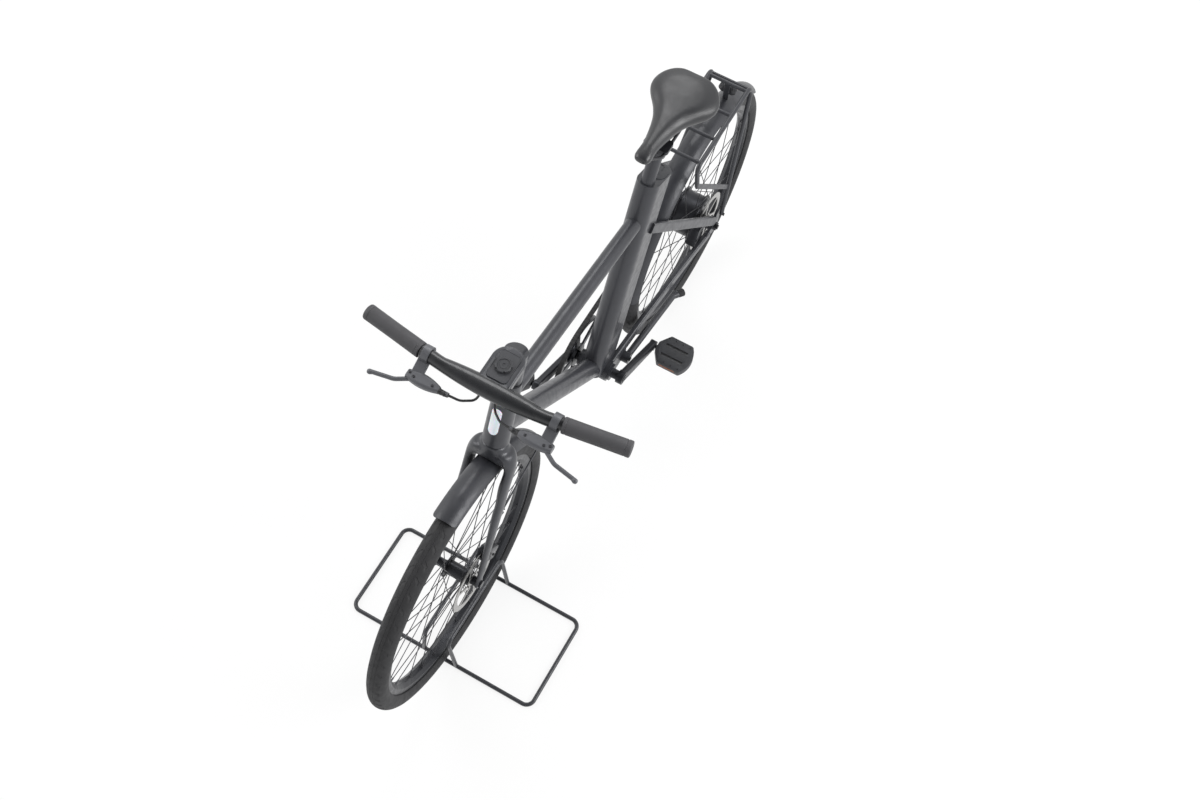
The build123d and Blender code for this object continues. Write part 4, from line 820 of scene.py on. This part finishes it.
def mount_plate():
    """Inset plate: a square face with its corners rounded, drawn up and bevelled."""
    clear_selection()
    bpy.ops.mesh.primitive_plane_add(size=1, location=mount_middle)
    plate = bpy.context.object
    plate.scale = (PLATE_LONG, PLATE_WIDE, 1)
    bpy.ops.object.transform_apply(location=False, rotation=False, scale=True)
    edit_all()
    bpy.ops.mesh.bevel(offset=8 * MM, segments=8, affect="VERTICES")
    bpy.ops.mesh.select_all(action="SELECT")
    bpy.ops.mesh.extrude_region_move(TRANSFORM_OT_translate={"value": (0, 0, 2 * MM)})
    bpy.ops.mesh.inset(thickness=1.6 * MM, depth=0)
    bpy.ops.mesh.inset(thickness=0.6 * MM, depth=-0.7 * MM)
    close_outward()
    return plate


plate = finish_piece(mount_plate(), "mount_plate", "steering", cover_plastic)
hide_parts("phone_mount")

# %% Twist-lock disc
NOTCH_EVERY = 60
NOTCH_FROM = 22
NOTCH_TO = 38
NOTCH_SHARE = 0.9


def notched_disc():
    """Disc with a grip edge: six short stretches of its rim are pushed in a little."""
    disc = turned([(1.2, 16.4), (2.2, 16.4), (2.6, 17), (6.8, 17), (7.8, 16), (7.8, 12.6), (6.6, 12.2),
                   (6.6, 8.6), (7.2, 8.2), (7.2, 3.2), (6.4, 3)], sides=72)
    for vertex in disc.data.vertices:
        radius = math.hypot(vertex.co.x, vertex.co.y) / MM
        turn = math.degrees(math.atan2(vertex.co.y, vertex.co.x)) % NOTCH_EVERY
        on_edge = radius > 15 and vertex.co.z > 2.3 * MM
        if on_edge and NOTCH_FROM < turn < NOTCH_TO:
            vertex.co.x *= NOTCH_SHARE
            vertex.co.y *= NOTCH_SHARE
    return disc


disc = repeated(notched_disc(), [Matrix.Translation(mount_middle)])
finish_piece(disc, "mount_disc", "steering", nylon)

# %% [markdown]
# ## Copies of solids
# Some pieces start from the CAD solid itself, because its outline is already right. Only a
# copy is shaped. Its loose triangles are merged first, since smoothing or remeshing them
# would tear the surface open.

# %% Copies of solids
WELD_GAP = 0.01 * MM


def copy_of(node):
    """A new object with its own copy of a solid's mesh, merged into one skin."""
    clear_selection()
    piece = bpy.data.objects.new(f"{node}_copy", NODES[node].data.copy())
    bpy.context.collection.objects.link(piece)
    piece.select_set(True)
    bpy.context.view_layer.objects.active = piece
    edit_all()
    bpy.ops.mesh.remove_doubles(threshold=WELD_GAP)
    bpy.ops.object.mode_set(mode="OBJECT")
    return piece


print("solids to copy", len(NODES))

# %% [markdown]
# ## Saddle
# A city saddle is foam moulded on a nylon shell, with a thin smooth vinyl skin pulled down
# over its edge. The skin is a copy of the solid, remeshed into even small faces. Cloth
# pressure blows it up a little, so that its flats become soft curves, and it is then
# smoothed, subdivided and fitted back to the size of the solid. Shaping it by hand would
# give flatter cheeks.

# %% Saddle skin
SKIN_CAP = 3.5 * MM
SKIN_VOXEL = 4 * MM
SKIN_INSET = 1.0 * MM
EDGE_DROP = 11 * MM


def blown_up(piece, pressure, frames, cap):
    """Inflate a closed skin with Cloth, cap how far it moves and keep the shape."""
    cloth = piece.modifiers.new("inflate", "CLOTH")
    cloth.settings.use_pressure = True
    cloth.settings.uniform_pressure_force = pressure
    cloth.settings.effector_weights.gravity = 0
    cloth.point_cache.frame_end = frames
    for moment in range(1, frames + 1):
        bpy.context.scene.frame_set(moment)
    shape = piece.evaluated_get(bpy.context.evaluated_depsgraph_get()).data
    moves = [after.co - before.co for before, after in zip(piece.data.vertices, shape.vertices)]
    piece.modifiers.remove(cloth)
    for vertex, move in zip(piece.data.vertices, moves):
        vertex.co += move * min(1, cap / max(move.length, 1e-6))
    bpy.context.scene.frame_set(1)


skin = copy_of("saddle")
skin.data.remesh_voxel_size = SKIN_VOXEL
bpy.ops.object.voxel_remesh()
edit_all()
bpy.ops.mesh.vertices_smooth(factor=0.5, repeat=6)
bpy.ops.transform.shrink_fatten(value=-SKIN_INSET)
bpy.ops.object.mode_set(mode="OBJECT")
blown_up(skin, pressure=4, frames=20, cap=SKIN_CAP)
skin.modifiers.new("even", "SMOOTH").iterations = 18
skin.modifiers.new("fine", "SUBSURF").levels = 1
bpy.ops.object.modifier_apply(modifier="even")
bpy.ops.object.modifier_apply(modifier="fine")
print("skin", len(skin.data.polygons), "faces")

# %% [markdown]
# ## Fitting the skin
# Blowing up and smoothing change the size a little, so the skin is stretched back to the
# box of its solid. Its side edges are then let down, the more the further out they lie,
# which rounds the saddle across without moving its middle.

# %% Fitting the skin
saddle_low, saddle_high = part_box("saddle")
skin_low = Vector([min(v.co[k] for v in skin.data.vertices) for k in range(3)])
skin_high = Vector([max(v.co[k] for v in skin.data.vertices) for k in range(3)])
for vertex in skin.data.vertices:
    for k in range(3):
        share = (vertex.co[k] - skin_low[k]) / (skin_high[k] - skin_low[k])
        vertex.co[k] = saddle_low[k] + share * (saddle_high[k] - saddle_low[k])
    height_share = (vertex.co.z - saddle_low.z) / (saddle_high.z - saddle_low.z)
    vertex.co.z -= EDGE_DROP * height_share * (vertex.co.y / saddle_high.y) ** 2
print("skin fitted to", [round(length, 4) for length in saddle_high - saddle_low])

# %% [markdown]
# ## Saddle cover
# The cover is vinyl: a soft satin shine, a thin clear skin and a very fine leather grain of
# cells about a millimetre across. A cell pattern gives that grain, and its edges are the
# creases between the cells.

# %% Saddle cover
COVER_TINT_MM = 45
COVER_SHINE_MM = 20
GRAIN_MM = 1.1
CREASE_MM = 0.02
material, tree, shader, place = new_material("saddle_vinyl", "#1b1c1f", 0.42, coat=0.3)
shader.inputs["Coat Roughness"].default_value = 0.3
uneven(tree, shader, place, ("#17181b", "#1f2024"), COVER_TINT_MM, (0.38, 0.48), COVER_SHINE_MM)
cells = add_node(tree, "ShaderNodeTexVoronoi", {"feature": "DISTANCE_TO_EDGE"}, Vector=place,
                 Scale=per_feature(GRAIN_MM))
creases = add_node(tree, "ShaderNodeMapRange", i0=cells.outputs["Distance"], i1=0, i2=0.3, i3=0, i4=1)
relief = add_node(tree, "ShaderNodeBump", Distance=CREASE_MM * MM, Strength=1.0, Height=creases.outputs[0])
tree.links.new(relief.outputs[0], shader.inputs["Normal"])
finish_piece(skin, "saddle_skin", "frame", material, crease=180)
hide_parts("saddle")

# %% [markdown]
# ## Saddle shell
# Below the skin lies the nylon shell that the rails clip into. It is the lower slice of
# the same solid, cut off by a plane and drawn in a little, so that the two always fit.

# %% Saddle shell
SHELL_HIGH = 9 * MM
SHELL_SHARE = (0.93, 0.86, 1)
SHELL_DROP = 1.6 * MM
shell = copy_of("saddle")
edit_all()
bpy.ops.mesh.bisect(plane_co=(0, 0, saddle_low.z + SHELL_HIGH), plane_no=(0, 0, 1), use_fill=True,
                    clear_outer=True)
bpy.ops.mesh.select_all(action="SELECT")
bpy.ops.transform.resize(value=SHELL_SHARE, center_override=(saddle_low + saddle_high) / 2)
bpy.ops.transform.translate(value=(0, 0, -SHELL_DROP))
close_outward()
finish_piece(shell, "saddle_shell", "frame", nylon)

# %% [markdown]
# ## Rear lamp
# The rear lamp is a dark box with a red lens at its back only. A copy of its solid gets
# two materials, and the faces within a few millimetres of its back take the lens.

# %% Rear lamp
LENS_DEPTH = 3.2 * MM
lamp = copy_of("rear_light")
lamp_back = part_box("rear_light")[0].x
finish_piece(lamp, "rear_lamp", "frame", None)
lamp.data.materials.clear()
lamp.data.materials.append(cover_plastic)
lamp.data.materials.append(red_lens)
for face in lamp.data.polygons:
    face.material_index = 1 if face.center.x < lamp_back + LENS_DEPTH else 0
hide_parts("rear_light")

# %% [markdown]
# ## Pedal reflectors
# Pedals carry amber reflectors front and back, as the road rules ask. Each is a bevelled
# block with its face sunk inside a rim, pushed a little way into the pedal's edge.

# %% Pedal reflectors
REFLECTOR = (44, 6, 2.4)
REFLECTOR_SUNK = 1.4 * MM
# The amber lenses glow faintly too: painted light, since no lamp is lit.
amber_lens = lens("tinted_acrylic_amber", "#8a5230", 0.02)


def reflector(width, height, depth):
    """Bevelled block with its face set back inside a rim."""
    clear_selection()
    bpy.ops.mesh.primitive_cube_add(size=1, location=(0, 0, depth * MM / 2))
    block = bpy.context.object
    block.scale = (width * MM, height * MM, depth * MM)
    bpy.ops.object.transform_apply(location=True, rotation=False, scale=True)
    edit_all()
    bpy.ops.mesh.bevel(offset=1.2 * MM, segments=3, affect="EDGES")
    bpy.ops.object.mode_set(mode="OBJECT")
    sink_faces(block, lambda face: face.normal.z > 0.99, 0.7, 0.5)
    return block


for word, _ in SIDES:
    middle = centre_of(f"pedal_{word}")
    places = []
    for fore in (1, -1):
        start = (middle.x + fore * 80 * MM, middle.y, middle.z)
        face, _ = surface_of(f"pedal_{word}", start, (-fore, 0, 0))
        places.append(standing(face - Vector((fore * REFLECTOR_SUNK, 0, 0)), (fore, 0, 0)))
    piece = repeated(reflector(*REFLECTOR), places)
    finish_piece(piece, f"pedal_reflectors_{word}", f"pedal_{word}", amber_lens)

# %% [markdown]
# ## Pedal pins
# Short steel pins keep a wet shoe from slipping. They stand in two rows near the front and
# back edges of each face, above and below, and are seated by rays like the screws.

# %% Pedal pins
PIN_X = 34 * MM
PIN_SHARES = (-0.30, -0.1, 0.1, 0.30)
for word, _ in SIDES:
    low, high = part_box(f"pedal_{word}")
    middle = (low + high) / 2
    pin = turned([(-0.5, 2.0), (0.5, 2.0), (0.7, 1.5), (2.2, 1.4), (2.5, 1.0)], sides=12)
    places = []
    for up in (1, -1):
        for dx in (-PIN_X, PIN_X):
            for share in PIN_SHARES:
                start = (middle.x + dx, middle.y + share * (high.y - low.y), middle.z + up * 50 * MM)
                face, _ = surface_of(f"pedal_{word}", start, (0, 0, -up))
                places.append(standing(face, (0, 0, up)))
    finish_piece(repeated(pin, places), f"pedal_pins_{word}", f"pedal_{word}", dark_steel)

# %% [markdown]
# ## Caliper, rack and mudguard bolts
# Two bolts hold each caliper's halves together, one holds each foot of the rack, and one
# each eye of the front mudguard's stay. All are seated by rays from outside.

# %% Caliper, rack and mudguard bolts
OUTSIDE_Y = 140 * MM
# Body, and the two bolts' places from the middle of each caliper in millimetres.
CALIPER_BOLTS = {"front": ("steering", ((6, 16), (-6, -16))), "rear": ("frame", ((14, 0), (-14, 0)))}
RACK_FOOT = Vector((-14, 0, 42)) * MM
STAY_EYE = Vector((-150, 48.9, 166.7)) * MM


def side_ray(place, side):
    """Ray from beside the bike, at the height and length of a place, inwards."""
    return (place.x, side * OUTSIDE_Y, place.z), (0, -side, 0)


for end, (body, bolts) in CALIPER_BOLTS.items():
    middle = centre_of(f"{end}_caliper")
    rays = [side_ray(middle + Vector((dx, 0, dz)) * MM, 1) for dx, dz in bolts]
    seat_screws(f"{end}_caliper_screws", f"{end}_caliper", rays, body, 3.4, 2.0)
rays = [side_ray(REAR_AXLE + RACK_FOOT, side) for _, side in SIDES]
seat_screws("rack_screws", "rear_rack", rays, "frame", 4.2, 2.2)
eye = FRONT_AXLE + STAY_EYE
rays = [((eye.x, side * eye.y, eye.z), (1, 0, 0)) for _, side in SIDES]
seat_screws("stay_screws", "front_mudguard", rays, "steering", 3.6, 2.0)

# %% [markdown]
# ## Kickstand shoe
# A rubber shoe closes the kickstand's end, so that it doesn't slip or scratch the floor. It
# is a turned cup with a thick foot, laid along the last stretch of the folded leg.

# %% Kickstand shoe
FOOT_BACK = Vector((5.1, 0, 9.1)) * MM
FOOT_Y = 76 * MM
SHOE_LENGTH = 14 * MM
foot = turned([(-1, 9.3), (0, 9.7), (2, 9.9), (11, 10.3), (14, 9.8), (15.4, 8.2), (15.8, 5)], sides=32)
leg_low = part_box("kickstand")[0]
foot_tip = Vector((leg_low.x, FOOT_Y, leg_low.z)) + FOOT_BACK
foot_run = Vector((-26, 18, -2)).normalized()
shoe = repeated(foot, [standing(foot_tip - foot_run * SHOE_LENGTH, foot_run)])
finish_piece(shoe, "kickstand_shoe", "kickstand", tyre_rubber)

# %% [markdown]
# ## Battery lock
# The battery slides into the seat tube and is locked by a key in its cap. The lock is a
# turned collar with a sunk barrel, standing square on the cap's sloping face, so it takes
# its direction from that face and not from the world.

# %% Battery lock
LOCK_BACK = 22 * MM
cap_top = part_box("battery_cap")[1].z
start = (centre_of("battery_cap").x - LOCK_BACK, 0, cap_top + 50 * MM)
lock_place, lock_normal = surface_of("battery_cap", start, (0, 0, -1))
lock = turned([(-0.5, 6.5), (1.0, 6.5), (1.6, 6.0), (1.6, 4.4), (0.9, 4.2), (0.9, 1.2), (0.2, 1.1)],
              sides=32)
lock = repeated(lock, [standing(lock_place, lock_normal)])
finish_piece(lock, "battery_lock", "frame", dark_steel)

# %% [markdown]
# ## Bar and stem block
# The stem block and neck wear the frame's powder coat, while the bar that runs through them
# is glossier and darker, as a separate tube is. Both are one solid, so a copy of it takes
# two materials, chosen by where each face lies.

# %% Two coats on the bar
bar_coat = coated("gloss_black_bar_coat", "#1d1e21", "#26272a", 0.28, 0.25, 1.2, 0.002, 0.4)
BLOCK_TOP = (BAR_Z + 12) * MM
BLOCK_FRONT = (BAR_X - 18.5) * MM
FLAT_GAP = 0.3 * MM


def on_block(face):
    """Faces of the block's flat top, and all that lies behind the bar."""
    flat_top = face.normal.z > 0.999 and abs(face.center.z - BLOCK_TOP) < FLAT_GAP
    return flat_top or face.center.x < BLOCK_FRONT


bar = copy_of("handlebar")
finish_piece(bar, "handlebar_coats", "steering", None)
bar.data.materials.clear()
for coat in (bar_coat, frame_coat):
    bar.data.materials.append(coat)
for face in bar.data.polygons:
    face.material_index = 1 if on_block(face) else 0
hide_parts("handlebar")

# %% [markdown]
# ## Fork casting
# Crown, shoulders and blades flow into each other on the real fork, with no seam where one
# form meets the next. A remeshed copy of the solid is smoothed, most of all at the crown,
# so the joins become hollows, and the blades keep their lines.

# %% Flowing crown
CROWN_REACH = 95 * MM
BLADE_SHARE = 0.12
FORK_VOXEL = 2 * MM
fork = copy_of("fork")
fork.data.remesh_voxel_size = FORK_VOXEL
bpy.ops.object.voxel_remesh()
crown_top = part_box("head_tube")[0].z
blend_group = fork.vertex_groups.new(name="crown")
for vertex in fork.data.vertices:
    below = crown_top - vertex.co.z
    fading = 1 - (below - CROWN_REACH) / CROWN_REACH
    share = min(1.0, max(BLADE_SHARE, fading))
    blend_group.add([vertex.index], share, "REPLACE")
blend = fork.modifiers.new("blend", "SMOOTH")
blend.iterations = 80
blend.vertex_group = "crown"
bpy.ops.object.modifier_apply(modifier="blend")
finish_piece(fork, "fork_casting", "steering", frame_coat, crease=60)
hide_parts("fork")

# %% [markdown]
# ## Rounded edges
# No real edge is perfectly sharp: a moulded pedal, a forged crank or a cast caliper has a
# small round on every edge, and that round is what catches the light. These pieces copy
# their solids, melt flat triangles into whole faces and then bevel the sharp edges. They
# come last, because the rays that seat pins and screws need the solids still in view.

# %% Edge rounds
MELT_ANGLE = math.radians(0.5)
SHARP_ANGLE = math.radians(40)


def softened(node, body, material, width_mm):
    """Copy a solid and round its sharp edges by a small width."""
    piece = copy_of(node)
    edit_all()
    bpy.ops.mesh.dissolve_limited(angle_limit=MELT_ANGLE)
    bpy.ops.object.mode_set(mode="OBJECT")
    rounds = piece.modifiers.new("rounds", "BEVEL")
    rounds.width = width_mm * MM
    rounds.segments = 2
    rounds.limit_method = "ANGLE"
    rounds.angle_limit = SHARP_ANGLE
    rounds.use_clamp_overlap = True
    bpy.ops.object.modifier_apply(modifier="rounds")
    finish_piece(piece, f"{node}_rounded", body, material, crease=40)
    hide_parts(node)


for word, _ in SIDES:
    softened(f"pedal_{word}", f"pedal_{word}", nylon, 0.9)
for word, _ in SIDES:
    softened(f"crank_{word}", "crankset", anodised, 0.8)
softened("front_caliper", "steering", anodised, 0.8)
softened("rear_caliper", "frame", anodised, 0.8)
softened("battery_cap", "frame", nylon, 0.6)
